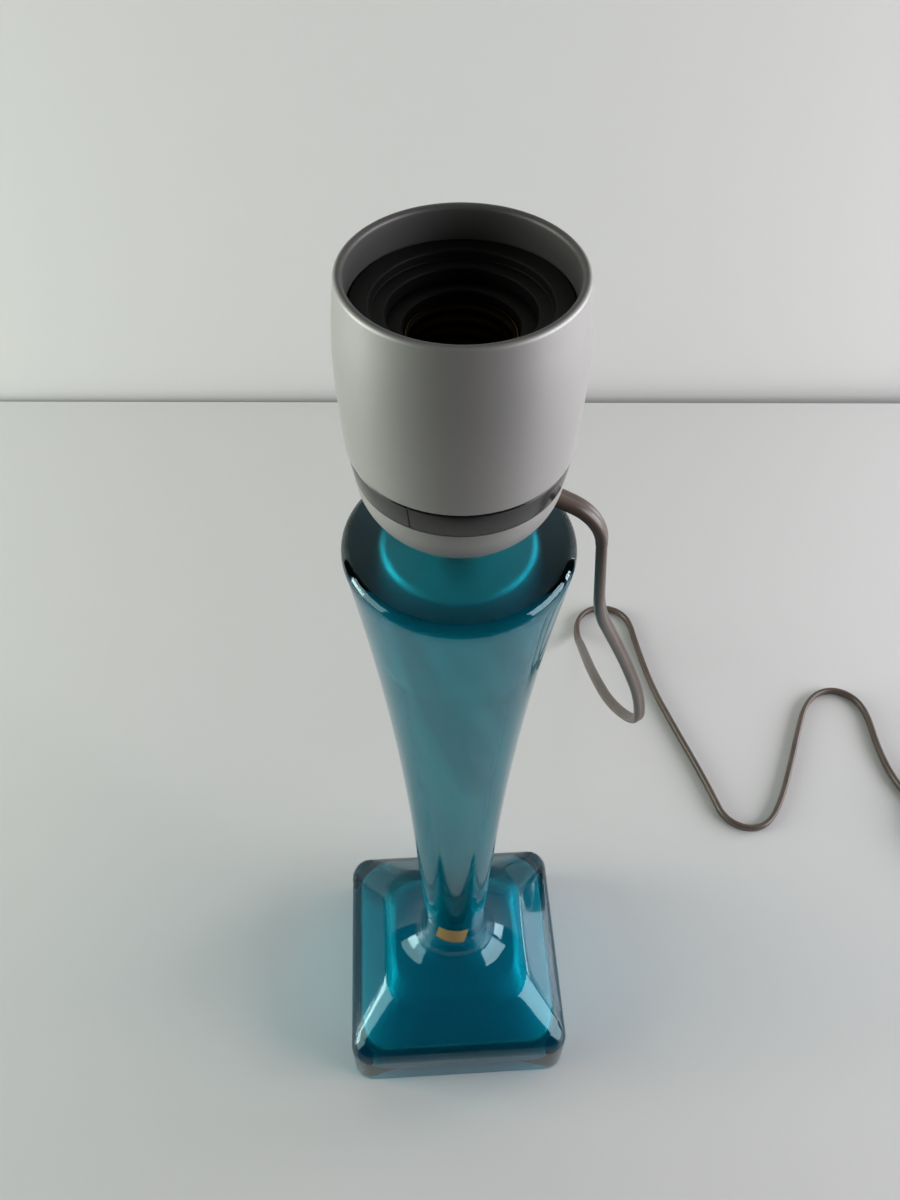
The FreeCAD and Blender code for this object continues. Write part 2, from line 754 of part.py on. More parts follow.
def biarc(a, way_a, b, way_b):
    """Two tangent arcs from a to b that leave along way_a and arrive along way_b."""
    gap, ways = b - a, way_a + way_b
    size = 2 * (1 - way_a.dot(way_b))
    if size < 1e-9:
        reach = gap.Length**2 / (4 * gap.dot(way_b))
    else:
        reach = (-gap.dot(ways) + math.sqrt(gap.dot(ways)**2 + size * gap.Length**2)) / size
    corner_a, corner_b = a + way_a * reach, b - way_b * reach
    joint = (corner_a + corner_b) * 0.5
    pieces = []
    for start, corner, end in ((a, corner_a, joint), (joint, corner_b, b)):
        to_corner, chord = (corner - start), (end - start)
        half = to_corner.getAngle(chord)
        sag = chord.Length / 2 * math.tan(half / 2)
        middle_chord = (start + end) * 0.5
        pieces.append(arc(start, middle_chord + (corner - middle_chord).normalize() * sag, end))
    return pieces


coil_end = coil_point(2 * coil_turns_in + 0.5)[0] + V(0, coil_lead, 0)


def coil_edges():
    turns = 2 * coil_turns_in + 0.5
    steps = int(turns * 4)
    # the spiral's direction is square to the entry and to the exit over one diameter
    stops = [coil_point(turns * i / steps) for i in range(steps + 1)]
    stops[0] = (stops[0][0] + V(0, -flex_d, 0), V(0, -1, 0))
    stops[-1] = (stops[-1][0] + V(0, -flex_d, 0), V(0, 1, 0))
    edges = [line(coil_point(0)[0], stops[0][0])]
    for (a, way_a), (b, way_b) in zip(stops, stops[1:]):
        edges += biarc(a, way_a, b, way_b)
    edges.append(line(stops[-1][0], coil_end))
    return edges


def coil_gap(edges):
    """The least gap between stretches of the coil that are over half a turn apart."""
    points, run = [], 0.0
    for edge in edges:
        for k in range(8):
            span = edge.LastParameter - edge.FirstParameter
            points.append((run + edge.Length * k / 8, edge.valueAt(edge.FirstParameter + span * k / 8)))
        run += edge.Length
    apart = math.pi * (coil_r - coil_pitch * (coil_turns_in + 0.25))
    least = min((p - q).Length for i, (s, p) in enumerate(points) for t, q in points[i + 1:] if t - s > apart)
    return least - flex_d


def flex_coil():
    edges = coil_edges()
    solid, length = pipe(edges, flex_r)
    print("flex, coil: length", round(length, 1), "volume over section times length",
          round(solid.Volume / (math.pi * flex_r**2 * length), 4), "least gap", round(coil_gap(edges), 2))
    return solid, length


def cord_tie():
    """A flat band round the coil's wound section, on its far side."""
    low_r = coil_r - coil_pitch * (coil_turns_in + 0.25) - flex_r - tie_gap
    high_r = coil_r + flex_r + tie_gap
    low_z = coil_z - flex_r - tie_gap
    high_z = coil_z + coil_layer_rise + flex_r + tie_gap
    outer = block(low_r - tie_wall, high_r + tie_wall, -tie_width / 2, tie_width / 2, low_z - tie_wall, high_z + tie_wall)
    window = block(low_r, high_r, -tie_width, tie_width, low_z, high_z)
    band = turned(outer.cut(window), tie_turn)
    band.translate(V(coil_x, coil_y, 0))
    return band


# Plug: a flat two-pin body with a round neck, in line with the coil's end

def plug_body():
    start = coil_end.y
    z = coil_end.z
    neck = Part.makeCone(plug_neck_r, plug_neck_r + 2, plug_neck_length, V(coil_end.x, start, z), V(0, 1, 0))
    low = start + plug_neck_length - 0.5
    body = block(coil_end.x - plug_width / 2, coil_end.x + plug_width / 2, low, start + plug_length,
                 z - plug_thickness / 2, z + plug_thickness / 2)
    long_edges = [e for e in body.Edges if abs(e.tangentAt(e.FirstParameter).y) > 0.9]
    body = body.makeFillet(plug_thickness * 0.33, long_edges)
    return neck.fuse(body)


def plug_pins():
    pins = []
    for side in (-1, 1):
        start = V(coil_end.x + side * pin_pitch / 2, coil_end.y + plug_length, coil_end.z)
        pin = Part.makeCylinder(pin_r, pin_length, start, V(0, 1, 0))
        tip = [e for e in pin.Edges if abs(e.BoundBox.YMin - start.y - pin_length) < 1e-6
               and e.BoundBox.YLength < 1e-6]
        pins.append(pin.makeFillet(pin_r * 0.6, tip))
    return Part.makeCompound(pins)


# Inner wires from the sleeve to the two terminals

def core_wires():
    inner_end = exit_point - exit_way * (dome_wall + sleeve_inner_gap + sleeve_flange_thickness)
    wires = []
    for side in (-1, 1):
        start = inner_end + exit_side * (side * (core_r + 0.2))
        bend = start - exit_way * 4
        target = V(terminal_x + terminal_head_r + core_r + 0.1, side * terminal_pitch / 2, block_z - core_r - 0.2)
        turn = V(target.x + 0.6, target.y - side * 5, target.z - 1.0)
        edges, radii = flex_path([start, bend, turn, target])
        wires.append(pipe(edges, core_r)[0])
    return Part.makeCompound(wires)


os.makedirs("parts", exist_ok=True)
free_solid, free_length = flex_free()
coil_solid, coil_length = flex_coil()
print("flex, whole length", round(free_length + coil_length, 1))
nodes = {
    "glass_body": glass_body(),
    "glass_label": glass_label(),
    "rubber_bung": rubber_bung(),
    "threaded_tube": threaded_tube(),
    "bung_washer": bung_washer(),
    "bung_nut": bung_nut(),
    "neck_washer": neck_washer(),
    "dome_washer": dome_washer(),
    "dome_locknut": dome_locknut(),
    "lower_dome": lower_dome(),
    "switch_ring": switch_ring(),
    "switch_wiper": switch_wiper(),
    "switch_contacts": switch_contacts(),
    "terminal_block": terminal_block(),
    "terminal_screws": terminal_screws(),
    "upper_cup": cup_with_holes(),
    "lampholder_body": lampholder_body(),
    "fixing_screws": fixing_screws(),
    "screw_shell": screw_shell(),
    "contact_tongue": contact_tongue(),
    "contact_foot": contact_foot(),
    "shade_ring": shade_ring(),
    "cord_sleeve": cord_sleeve(),
    "core_wires": core_wires(),
    "flex_free": free_solid,
    "flex_coil": coil_solid,
    "cord_tie": cord_tie(),
    "plug_body": plug_body(),
    "plug_pins": plug_pins(),
}
for name, shape in nodes.items():
    if not shape.isValid():
        print("not valid:", name)
    shape.exportStep("parts/" + name + ".step")
    box = shape.BoundBox
    print(name, len(shape.Solids), "solids", round(shape.Volume, 1), "mm3",
          [round(v, 1) for v in (box.XMin, box.XMax, box.YMin, box.YMax, box.ZMin, box.ZMax)])
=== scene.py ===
import math

import bmesh
import bpy
import numpy as np
from bpy.props import FloatProperty, FloatVectorProperty, IntProperty, PointerProperty
from mathutils import Matrix, Vector


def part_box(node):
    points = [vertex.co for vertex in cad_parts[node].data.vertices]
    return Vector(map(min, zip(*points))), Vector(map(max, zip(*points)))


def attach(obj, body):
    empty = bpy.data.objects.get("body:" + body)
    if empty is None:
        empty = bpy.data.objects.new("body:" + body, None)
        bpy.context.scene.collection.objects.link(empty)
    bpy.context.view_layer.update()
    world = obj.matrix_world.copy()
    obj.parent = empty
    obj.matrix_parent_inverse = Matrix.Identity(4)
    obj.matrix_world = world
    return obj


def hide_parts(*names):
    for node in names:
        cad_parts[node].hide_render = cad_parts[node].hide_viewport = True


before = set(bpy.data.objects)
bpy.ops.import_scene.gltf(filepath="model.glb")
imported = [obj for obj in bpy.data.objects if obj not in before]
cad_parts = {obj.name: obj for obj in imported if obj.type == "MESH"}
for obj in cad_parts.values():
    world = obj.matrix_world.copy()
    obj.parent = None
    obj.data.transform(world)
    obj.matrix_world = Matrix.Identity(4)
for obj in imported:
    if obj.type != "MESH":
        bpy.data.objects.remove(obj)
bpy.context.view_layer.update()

bl_info = {
    "name": "Glass table lamp",
    "version": (1, 0, 0),
    "blender": (4, 5, 0),
    "location": "3D View > Sidebar > Lamp",
    "description": "Builds a table lamp of blown glass with its lampholder, switch ring and flex",
    "category": "Add Mesh",
}


# Settings

def length(name, description, default, least):
    """A size that a user may change."""
    return FloatProperty(name=name, description=description, default=default, min=least, unit="LENGTH")


def tint(name, description, default):
    """A colour that a user may change."""
    return FloatVectorProperty(name=name, description=description, default=default, size=3, min=0, max=1,
                               subtype="COLOR")


class GlassSettings(bpy.types.PropertyGroup):
    foot_side: length("Foot side", "Width of the square foot", 0.116, 0.05)
    foot_corner: length("Foot corner", "Radius of the foot's upright corners", 0.011, 0.001)
    wall_height: length("Wall height", "Height of the crease over the foot's wall", 0.034, 0.005)
    slope: FloatProperty(name="Slope", description="How far the foot's faces run in for each metre up",
                         default=0.839, min=0.1, max=3)
    draft: FloatProperty(name="Draft", description="How far the foot's wall leans in for each metre up",
                         default=0.0175, min=0, max=1)
    foot_height: length("Foot height", "Height of the foot's top", 0.070, 0.02)
    waist_radius: length("Waist radius", "Radius of the shaft at its waist", 0.0152, 0.005)
    rim_radius: length("Rim radius", "Radius of the shaft at its top rim", 0.0356, 0.01)
    shaft_length: length("Shaft length", "Height from the waist to the rim", 0.2915, 0.05)
    absorb_color: tint("Glass colour", "Colour that the glass lets through", (0.0, 0.775, 0.82))
    absorb_density: FloatProperty(name="Glass depth", default=268.0, min=0, max=1000, subtype="FACTOR",
                                  description="How fast the colour deepens with thickness")


class HolderSettings(bpy.types.PropertyGroup):
    cup_color: tint("Cup colour", "Colour of the cup and the dome", (0.37, 0.365, 0.35))
    ring_color: tint("Ring colour", "Colour of the switch ring", (0.012, 0.010, 0.010))
    rim_radius: length("Cup rim radius", "Radius of the cup's rim", 0.030, 0.01)


class FlexSettings(bpy.types.PropertyGroup):
    width: length("Flex width", "Width of the flat twin flex", 0.0056, 0.001)
    thickness: length("Flex thickness", "Thickness of one core's sheath", 0.0034, 0.001)
    color: tint("Flex colour", "Colour of the sheath", (0.10, 0.073, 0.056))
    coil_turns: IntProperty(name="Coil turns", description="Whole turns in each layer of the coil", default=2,
                            min=1)


class StageSettings(bpy.types.PropertyGroup):
    table_color: tint("Table colour", "Colour of the table", (0.62, 0.62, 0.605))
    wall_color: tint("Wall colour", "Colour of the wall", (0.68, 0.68, 0.66))
    wall_distance: length("Wall distance", "Distance from the lamp to the wall", 0.515, 0.1)


# Shader sums

class Value:
    """One output of a shader tree. Sums on it add Math nodes to its tree."""

    def __init__(self, tree, socket):
        self.tree, self.socket = tree, socket

    def _sum(self, operation, *terms):
        return self.tree.add("ShaderNodeMath", {"operation": operation}, dict(enumerate(terms)))

    def __add__(self, other):
        return self._sum("ADD", self, other)

    def __radd__(self, other):
        return self._sum("ADD", other, self)

    def __sub__(self, other):
        return self._sum("SUBTRACT", self, other)

    def __rsub__(self, other):
        return self._sum("SUBTRACT", other, self)

    def __mul__(self, other):
        return self._sum("MULTIPLY", self, other)

    def __rmul__(self, other):
        return self._sum("MULTIPLY", other, self)

    def __pow__(self, other):
        return self._sum("POWER", self, other)

    def __abs__(self):
        return self._sum("ABSOLUTE", self)

    def larger(self, other):
        return self._sum("MAXIMUM", self, other)

    def step(self, low, high, base=0.0):
        """0 below base + low and 1 above base + high, with a smooth way between them."""
        return self.tree.add("ShaderNodeMapRange", {"interpolation_type": "SMOOTHSTEP"},
                             {"Value": self, "From Min": base + low, "From Max": base + high})


class Tree:
    """The nodes of a material or a world."""

    def __init__(self, owner):
        owner.use_nodes = True
        self.nodes, self.links = owner.node_tree.nodes, owner.node_tree.links
        self.nodes.clear()

    def add(self, kind, settings=None, sockets=None, out=0):
        """Makes a node from its type, its settings and its sockets' values, and gives one of its outputs.

        A Value among the sockets is linked, and a colour may leave out its alpha.
        """
        node = self.nodes.new(kind)
        for key, setting in (settings or {}).items():
            setattr(node, key, setting)
        for key, given in (sockets or {}).items():
            socket = node.inputs[key]
            if isinstance(given, Value):
                self.links.new(given.socket, socket)
            elif socket.type == "RGBA" and len(given) == 3:
                socket.default_value = (*given, 1.0)
            else:
                socket.default_value = given
        return Value(self, node.outputs[out]) if len(node.outputs) else node

    def out(self, value, name):
        """Another output of the node that a value comes from."""
        return Value(self, value.socket.node.outputs[name])


# Finishes

GLOSS_SPREAD = 0.04
RELIEF_DEPTH = 0.0002
# The width below is that of the blend into the painted shade inside a hollow.
SHADE_BLEND = 0.0004


def blend_color(tree, share, first, second):
    """The first colour where the share is 0 and the second where it is 1.

    Sockets 0, 6 and 7 of a Mix node are its factor and its two colours, and output 2 is its colour.
    """
    return tree.add("ShaderNodeMix", {"data_type": "RGBA"}, {0: share, 6: first, 7: second}, out=2)


def object_place(tree):
    """A piece's own x, y and z, and the distance to the Z axis, the root of x squared plus y squared."""
    x = tree.add("ShaderNodeSeparateXYZ", None, {"Vector": tree.add("ShaderNodeTexCoord", out="Object")})
    y = tree.out(x, "Y")
    return x, y, tree.out(x, "Z"), (x * x + y * y) ** 0.5


def object_noise(tree, scale, detail):
    """Noise over a piece's own coordinates."""
    place = tree.add("ShaderNodeTexCoord", out="Object")
    return tree.add("ShaderNodeTexNoise", None, {"Vector": place, "Scale": scale, "Detail": detail})


def plain_finish(name, color, roughness, metallic=0.0, coat=0.0, grain=300.0, relief=0.0, specular=0.5,
                 inside=None, one_sided=False):
    """A finish whose gloss varies a little with fine noise, and that can have a fine relief.

    inside gives a radius about Z and the colour of what lies within it, a painted shade. A one-sided finish
    lets the camera look through the backs of its faces, and its light stays the same.
    """
    material = bpy.data.materials.new(name)
    tree = Tree(material)
    noise = object_noise(tree, grain, 3.0)
    sockets = {"Base Color": color, "Metallic": metallic, "Coat Weight": coat, "Specular IOR Level": specular,
               "Roughness": noise * (2 * GLOSS_SPREAD) + (roughness - GLOSS_SPREAD)}
    if inside:
        # Painted shade: a darker colour within the radius stands in for the shade inside a hollow.
        limit, shade_color = inside
        radius = object_place(tree)[3]
        outer_share = radius.step(-SHADE_BLEND, SHADE_BLEND, limit)
        sockets["Base Color"] = blend_color(tree, outer_share, shade_color, color)
    if relief:
        sockets["Normal"] = tree.add("ShaderNodeBump", None,
                                     {"Height": noise, "Strength": relief, "Distance": RELIEF_DEPTH})
    surface = tree.add("ShaderNodeBsdfPrincipled", None, sockets)
    if one_sided:
        behind = tree.add("ShaderNodeNewGeometry", out="Backfacing")
        to_camera = tree.add("ShaderNodeLightPath", out="Is Camera Ray")
        clear = tree.add("ShaderNodeBsdfTransparent")
        surface = tree.add("ShaderNodeMixShader", None, {0: behind * to_camera, 1: surface, 2: clear})
    tree.add("ShaderNodeOutputMaterial", None, {"Surface": surface})
    return material


FINISHES = {
    "dull black": dict(color=(0.008, 0.008, 0.007), roughness=0.55, grain=400.0, specular=0.2),
    # The dark tone of this brass is partly painted shade, for the shell deep in the socket, and partly the
    # tone of aged brass.
    "dark brass": dict(color=(0.15, 0.11, 0.055), roughness=0.5, metallic=1.0, grain=600.0),
    "plated steel": dict(color=(0.55, 0.55, 0.54), roughness=0.32, metallic=1.0, grain=700.0),
    "aged rubber": dict(color=(0.22, 0.21, 0.19), roughness=0.6, grain=400.0),
    "core sheath": dict(color=(0.30, 0.13, 0.05), roughness=0.4),
    "dark moulding": dict(color=(0.035, 0.032, 0.03), roughness=0.35, coat=0.2),
    "pin brass": dict(color=(0.60, 0.45, 0.20), roughness=0.25, metallic=1.0),
}


def shared_finish(name):
    """One of the finishes above, made when it is first asked for."""
    return bpy.data.materials.get(name) or plain_finish(name, **FINISHES[name])


# Glass finish. A pair of numbers is where a smooth step begins and ends.

UNDER_SKIN = (0.002, 0.004)
BORE_OVER_WAIST = (0.008, 0.016)
ROOF_OVER_RIM = (-0.010, -0.003)
CONE_RADIUS = 0.0125
CONE_UNDER_WAIST = 0.0185
CONE_FALL = 0.25
CONE_BLEND = (-0.0002, 0.0002)
FOOT_MARGIN = 0.0006
UNDER_FOOT_SKIN = (0.004, 0.006)
ROOM_OVER_TABLE = (0.005, 0.008)
PASSAGE_LIMIT = 0.0128
PASSAGE_EDGE = (0.0, 0.001)
PASSAGE_OVER_TABLE = (0.030, 0.040)
PASSAGE_OVER_WAIST = 0.030
PASSAGE_END = (0.0, 0.002)
SATIN_ROUGHNESS = 0.45
GLASS_IOR = 1.5
STREAK_LEAN = 0.22
STREAK_STRETCH = 0.12
STREAK_SCALE = 55.0
STREAK_EDGES = (0.44, 0.58)
# Painted shade: the two tints below make the bore's streaks and the bore's roof let less light through.
STREAK_SHADE = (0.36, 0.50, 0.53)
ROOF_SHADE = (0.36, 0.46, 0.47)
MIRROR_TINT = (0.6, 0.95, 1.0)
LAMP_TINT = (0.70, 0.96, 0.97)


def glass_masks(glass, x, y, z, radius):
    """Where the skin of the bore, of the bore's roof and of all hollows is, as shares from 0 to 1.

    The bore is where the distance to the axis is well inside the trumpet's radius at that height,
    over the waist. The room in the foot is where the greater of |x| and |y| is well inside the foot's
    half width at that height, and the height is under a flat cone. A narrow cylinder joins them.
    """
    waist = waist_height(glass)
    bore = (shaft_radius(glass, z) - radius).step(*UNDER_SKIN) * z.step(*BORE_OVER_WAIST, waist)
    roof = bore * z.step(*ROOF_OVER_RIM, rim_height(glass))
    half = (z - glass.wall_height).larger(0.0) * -glass.slope + (glass.foot_side / 2 - FOOT_MARGIN)
    cone = (radius - CONE_RADIUS) * -CONE_FALL + (waist - CONE_UNDER_WAIST)
    under_skin = (half - abs(x).larger(abs(y))).step(*UNDER_FOOT_SKIN)
    room = (cone - z).step(*CONE_BLEND) * under_skin * z.step(*ROOM_OVER_TABLE)
    narrow = (PASSAGE_LIMIT - radius).step(*PASSAGE_EDGE)
    passage = narrow * z.step(*PASSAGE_OVER_TABLE) * (waist + PASSAGE_OVER_WAIST - z).step(*PASSAGE_END)
    return bore, roof, room.larger(passage).larger(bore)


def glass_finish(name, glass):
    """Clear glass that takes its colour from its depth. Lamps shine through it with a plain tint.

    The outside is polished, and the skins of its hollows are satin. The bore's roof lets less through, as
    painted shade, and so do slanting streaks of painted shade in the bore, made by noise that is stretched
    along Z.
    """
    material = bpy.data.materials.new(name)
    tree = Tree(material)
    x, y, z, radius = object_place(tree)
    bore, roof, hollow = glass_masks(glass, x, y, z, radius)
    slant = tree.add("ShaderNodeCombineXYZ", None,
                     {"X": x + z * STREAK_LEAN, "Y": y, "Z": z * STREAK_STRETCH})
    streak = tree.add("ShaderNodeTexNoise", None, {"Vector": slant, "Scale": STREAK_SCALE, "Detail": 1.0})
    # Painted shade in slanting streaks over the bore.
    skin = blend_color(tree, streak.step(*STREAK_EDGES) * bore, (1.0, 1.0, 1.0), STREAK_SHADE)
    # The roof's darker tint is painted shade.
    clear = tree.add("ShaderNodeBsdfPrincipled", None, {
        "Base Color": blend_color(tree, roof, skin, ROOF_SHADE), "Roughness": hollow * SATIN_ROUGHNESS,
        "IOR": GLASS_IOR, "Specular Tint": MIRROR_TINT, "Transmission Weight": 1.0})
    tinted = tree.add("ShaderNodeBsdfTransparent", None, {"Color": LAMP_TINT})
    to_lamp = tree.add("ShaderNodeLightPath", out="Is Shadow Ray")
    surface = tree.add("ShaderNodeMixShader", None, {0: to_lamp, 1: clear, 2: tinted})
    depth = tree.add("ShaderNodeVolumeAbsorption", None,
                     {"Color": glass.absorb_color, "Density": glass.absorb_density})
    tree.add("ShaderNodeOutputMaterial", None, {"Surface": surface, "Volume": depth})
    return material


# Shapes

def rounded_line(corners, steps):
    """A line through corner points (a, b, radius), with each corner rounded by an arc of its radius.

    The arc touches both runs at radius x tan(half the turn) from the corner.
    """
    pts = np.array([c[:2] for c in corners], float)
    out = [pts[:1]]
    for before, corner, after, radius in zip(pts, pts[1:], pts[2:], [c[2] for c in corners[1:-1]]):
        way_in = (corner - before) / np.linalg.norm(corner - before)
        way_out = (after - corner) / np.linalg.norm(after - corner)
        turn = math.acos(float(np.clip(way_in @ way_out, -1, 1)))
        if radius <= 0 or turn < 1e-3:
            out.append(corner[None])
            continue
        reach = radius * math.tan(turn / 2)
        inward = (way_out - way_in) / np.linalg.norm(way_out - way_in)
        centre = corner + inward * radius / math.cos(turn / 2)
        share = np.linspace(0, 1, steps + 1)[:, None]
        start, end = corner - way_in * reach - centre, corner + way_out * reach - centre
        bow = (start * np.sin((1 - share) * turn) + end * np.sin(share * turn)) / math.sin(turn)
        out.append(centre + bow)
    out.append(pts[-1:])
    return np.vstack(out)


def smooth_line(points, steps):
    """A smooth line through points: a cubic between each pair, with slopes from the neighbours."""
    p = np.array(points, float)
    ends = np.vstack([2 * p[0] - p[1], p, 2 * p[-1] - p[-2]])
    t = np.linspace(0, 1, steps, endpoint=False)[:, None, None]
    a, b, c, d = ends[:-3], ends[1:-2], ends[2:-1], ends[3:]
    squared = a - 2.5 * b + 2 * c - 0.5 * d
    cubed = 3 * b - a - 3 * c + d
    curve = b + 0.5 * t * (c - a) + t**2 * squared + 0.5 * t**3 * cubed
    return np.vstack([curve.transpose(1, 0, 2).reshape(-1, p.shape[1]), p[-1:]])


def mesh_from_grid(name, grid, around=True, along=False, sharp=35.0, uv=False):
    """A mesh whose faces join the neighbours of a grid of points, rows by columns.

    around joins the last column to the first, along the last row to the first, and uv adds a map.
    """
    rows, cols = grid.shape[:2]
    index = np.arange(rows * cols).reshape(rows, cols)
    if around:
        index = np.hstack([index, index[:, :1]])
    if along:
        index = np.vstack([index, index[:1]])
    quads = np.stack([index[:-1, :-1], index[:-1, 1:], index[1:, 1:], index[1:, :-1]], -1).reshape(-1, 4)
    mesh = bpy.data.meshes.new(name)
    mesh.from_pydata(grid.reshape(-1, 3).tolist(), [], quads.tolist())
    if uv:
        u = np.arange(quads.shape[0]) % (index.shape[1] - 1)
        v = np.arange(quads.shape[0]) // (index.shape[1] - 1)
        corner_u = np.stack([u, u + 1, u + 1, u], 1) / (index.shape[1] - 1)
        corner_v = np.stack([v, v, v + 1, v + 1], 1) / (index.shape[0] - 1)
        layer = mesh.uv_layers.new(name="along")
        layer.data.foreach_set("uv", np.stack([corner_u, corner_v], -1).ravel())
    return finish_mesh(mesh, sharp)


def finish_mesh(mesh, sharp):
    """Merges doubles, closes poles, turns the faces outwards and shades smoothly up to an angle."""
    shape = bmesh.new()
    shape.from_mesh(mesh)
    bmesh.ops.remove_doubles(shape, verts=shape.verts, dist=1e-7)
    bmesh.ops.dissolve_degenerate(shape, edges=shape.edges, dist=1e-8)
    open_edges = [e for e in shape.edges if e.is_boundary]
    if open_edges:
        bmesh.ops.holes_fill(shape, edges=open_edges, sides=0)
    bmesh.ops.recalc_face_normals(shape, faces=shape.faces)
    shape.to_mesh(mesh)
    shape.free()
    shade_smooth(mesh, sharp)
    return mesh


def shade_smooth(mesh, sharp):
    """Shades a mesh smoothly, apart from its edges that turn by more than an angle."""
    mesh.polygons.foreach_set("use_smooth", np.ones(len(mesh.polygons), bool))
    mesh.set_sharp_from_angle(angle=math.radians(sharp))


def lathe(name, profile, steps, along, radius_at=None):
    """A profile of (radius, height) turned about Z: point = (r cos a, r sin a, z).

    radius_at(angles, heights, radii) may add to the radius, for threads and grooves.
    """
    profile = np.asarray(profile, float)
    angles = np.linspace(0, 2 * math.pi, steps, endpoint=False)
    radius = np.repeat(profile[:, :1], steps, 1)
    if radius_at is not None:
        radius = radius + radius_at(angles[None, :], profile[:, 1:2], profile[:, :1])
    grid = np.stack([radius * np.cos(angles), radius * np.sin(angles),
                     np.repeat(profile[:, 1:2], steps, 1)], -1)
    return mesh_from_grid(name, grid, along=along)


def add_piece(name, mesh, material, replaced, body="base"):
    """Puts a finished mesh in the scene, on its body, in place of its CAD nodes."""
    piece = bpy.data.objects.new(name, mesh)
    bpy.context.scene.collection.objects.link(piece)
    mesh.materials.clear()
    mesh.materials.append(material)
    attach(piece, body)
    if replaced:
        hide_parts(*replaced)
    return piece


def merged_copy(node, within=None):
    """A copy of a CAD node's mesh with its doubles merged, or the part of it near the Z axis."""
    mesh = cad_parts[node].data.copy()
    shape = bmesh.new()
    shape.from_mesh(mesh)
    bmesh.ops.remove_doubles(shape, verts=shape.verts, dist=1e-6)
    if within:
        middles = [(face, face.calc_center_median()) for face in shape.faces]
        far = [face for face, middle in middles if math.hypot(middle.x, middle.y) > within]
        bmesh.ops.delete(shape, geom=far, context="FACES")
        open_edges = [edge for edge in shape.edges if edge.is_boundary]
        if open_edges:
            bmesh.ops.holes_fill(shape, edges=open_edges, sides=0)
    shape.to_mesh(mesh)
    shape.free()
    return mesh


def dress(node, name, finish, body="base"):
    """A merged and smoothly shaded copy of a CAD node, which it replaces."""
    mesh = merged_copy(node)
    shade_smooth(mesh, 30.0)
    return add_piece(name, mesh, shared_finish(finish), [node], body)


def span_of(node):
    """The heights of a CAD node's underside and top."""
    low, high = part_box(node)
    return low[2], high[2]


# Glass, in metres

WAIST_RISE = 0.010
GROWTH = (0.42, 0.58)

# The cove and the foot. The skirt's reach is a share of the foot's side, and a growth is for each metre up.

COVE_ANGLES = (0, 18, 34, 48, 60, 70, 79, 90)
COVE_REACH = 0.0278
COVE_DROP = 0.022
SKIRT_REACH = 0.35
SKIRT_DROP = 0.0264
ROWS_START = 0.005
CLOSE_ROWS_START = 0.014
CLOSE_ROWS_END = 0.028
CORNER_GROWTH = 0.30
RECESS_DEPTH = 0.001
RECESS_EDGE = 0.009
SOLE_EDGE = 0.007
SOLE_ROUND = 0.0035
CREASE_ROUND = 0.013
LEAST_CORNER = 0.003
CORNER_CROWDING = 0.1375
BEYOND_FOOT = 0.5
EDGE_POWER = 14

# The rim, the neck, the bore and its roof

LIP_ROUND = 0.0038
NECK_RADIUS = 0.0112
NECK_RISE = 0.0026
NECK_FOOT_ROUND = 0.0028
NECK_EDGE_ROUND = 0.0008
NECK_HOLE = 0.0075
HOLE_END_RISE = 0.0002
HOLE_END_ROUND = 0.003
ROOF_REACH = 0.0008
ROOF_DROP = 0.0040
ROOF_ROUND = 0.0025
BORE_SHARES = np.array([0.87, 0.75, 0.6, 0.45, 0.32])
SHAFT_WALL = 0.0064
SHAFT_WALL_GROWTH = 0.0016

# Radii inside the glass, each with its height over the waist

BORE_END = ((0.0100, 0.071), (0.0085, 0.054), (0.0072, 0.039), (0.0062, 0.029), (0.0058, 0.024),
            (0.0056, 0.018))
PASSAGE = ((0.0056, 0.018), (0.0056, 0.004), (0.0062, -0.003), (0.0084, -0.0106), (0.0128, -0.0188),
           (0.0188, -0.0245), (0.0249, -0.0281), (0.0312, -0.0307))

# The room in the foot

FOOT_WALL = 0.0103
ROOM_BEND_DROP = 0.0036
ROOM_FLOOR = 0.011
ROOM_ROUND = 0.005
ROOM_RIDGE = (0.0340, 0.0465)
RIDGE_ROUND = 0.004
PASSAGE_CORNER = 0.020
ROOM_CORNER = 0.009
RIDGE_CORNER = 0.014


def waist_height(glass):
    """The height of the slimmest place, just over the foot."""
    return glass.foot_height + WAIST_RISE


def rim_height(glass):
    """The height at which the trumpet ends and its rim is rounded over."""
    return waist_height(glass) + glass.shaft_length


def shaft_radius(glass, height):
    """The trumpet's radius: waist + (rim - waist) x (0.42 t + 0.58 t cubed), t from waist to rim.

    The height is an array or a shader value.
    """
    share = (height - waist_height(glass)) * (1 / glass.shaft_length)
    growth = share * GROWTH[0] + share * share * share * GROWTH[1]
    return growth * (glass.rim_radius - glass.waist_radius) + glass.waist_radius


def cove_line(glass):
    """The cove over the foot as (radius, height): a quarter of an ellipse that leaves the waist upright.

    radius = waist radius + reach (1 - cos a), height = waist height - drop x sin a. A skirt that falls
    slowly follows it outwards.
    """
    waist = waist_height(glass)
    turn = np.radians(COVE_ANGLES)
    cove = np.stack([glass.waist_radius + COVE_REACH * (1 - np.cos(turn)),
                     waist - COVE_DROP * np.sin(turn)], 1)
    skirt = [cove[-1, 0] + glass.foot_side * SKIRT_REACH, waist - SKIRT_DROP]
    return smooth_line(np.vstack([cove, [skirt]]), 10)


def foot_rows(glass):
    """Heights of the foot's rows over its crease, with their half width and corner radius.

    The half width falls by the draft up to the crease and by the slope over it. The corner radius
    grows with the height.
    """
    crease = glass.wall_height
    start, close, far = crease + ROWS_START, crease + CLOSE_ROWS_START, crease + CLOSE_ROWS_END
    heights = np.concatenate([np.linspace(start, close, 10, endpoint=False),
                              np.linspace(close, far, 52, endpoint=False),
                              np.linspace(far, waist_height(glass), 28)])
    half = glass.foot_side / 2 - crease * glass.draft - (heights - crease) * glass.slope
    return heights, half, glass.foot_corner + (heights - crease) * CORNER_GROWTH


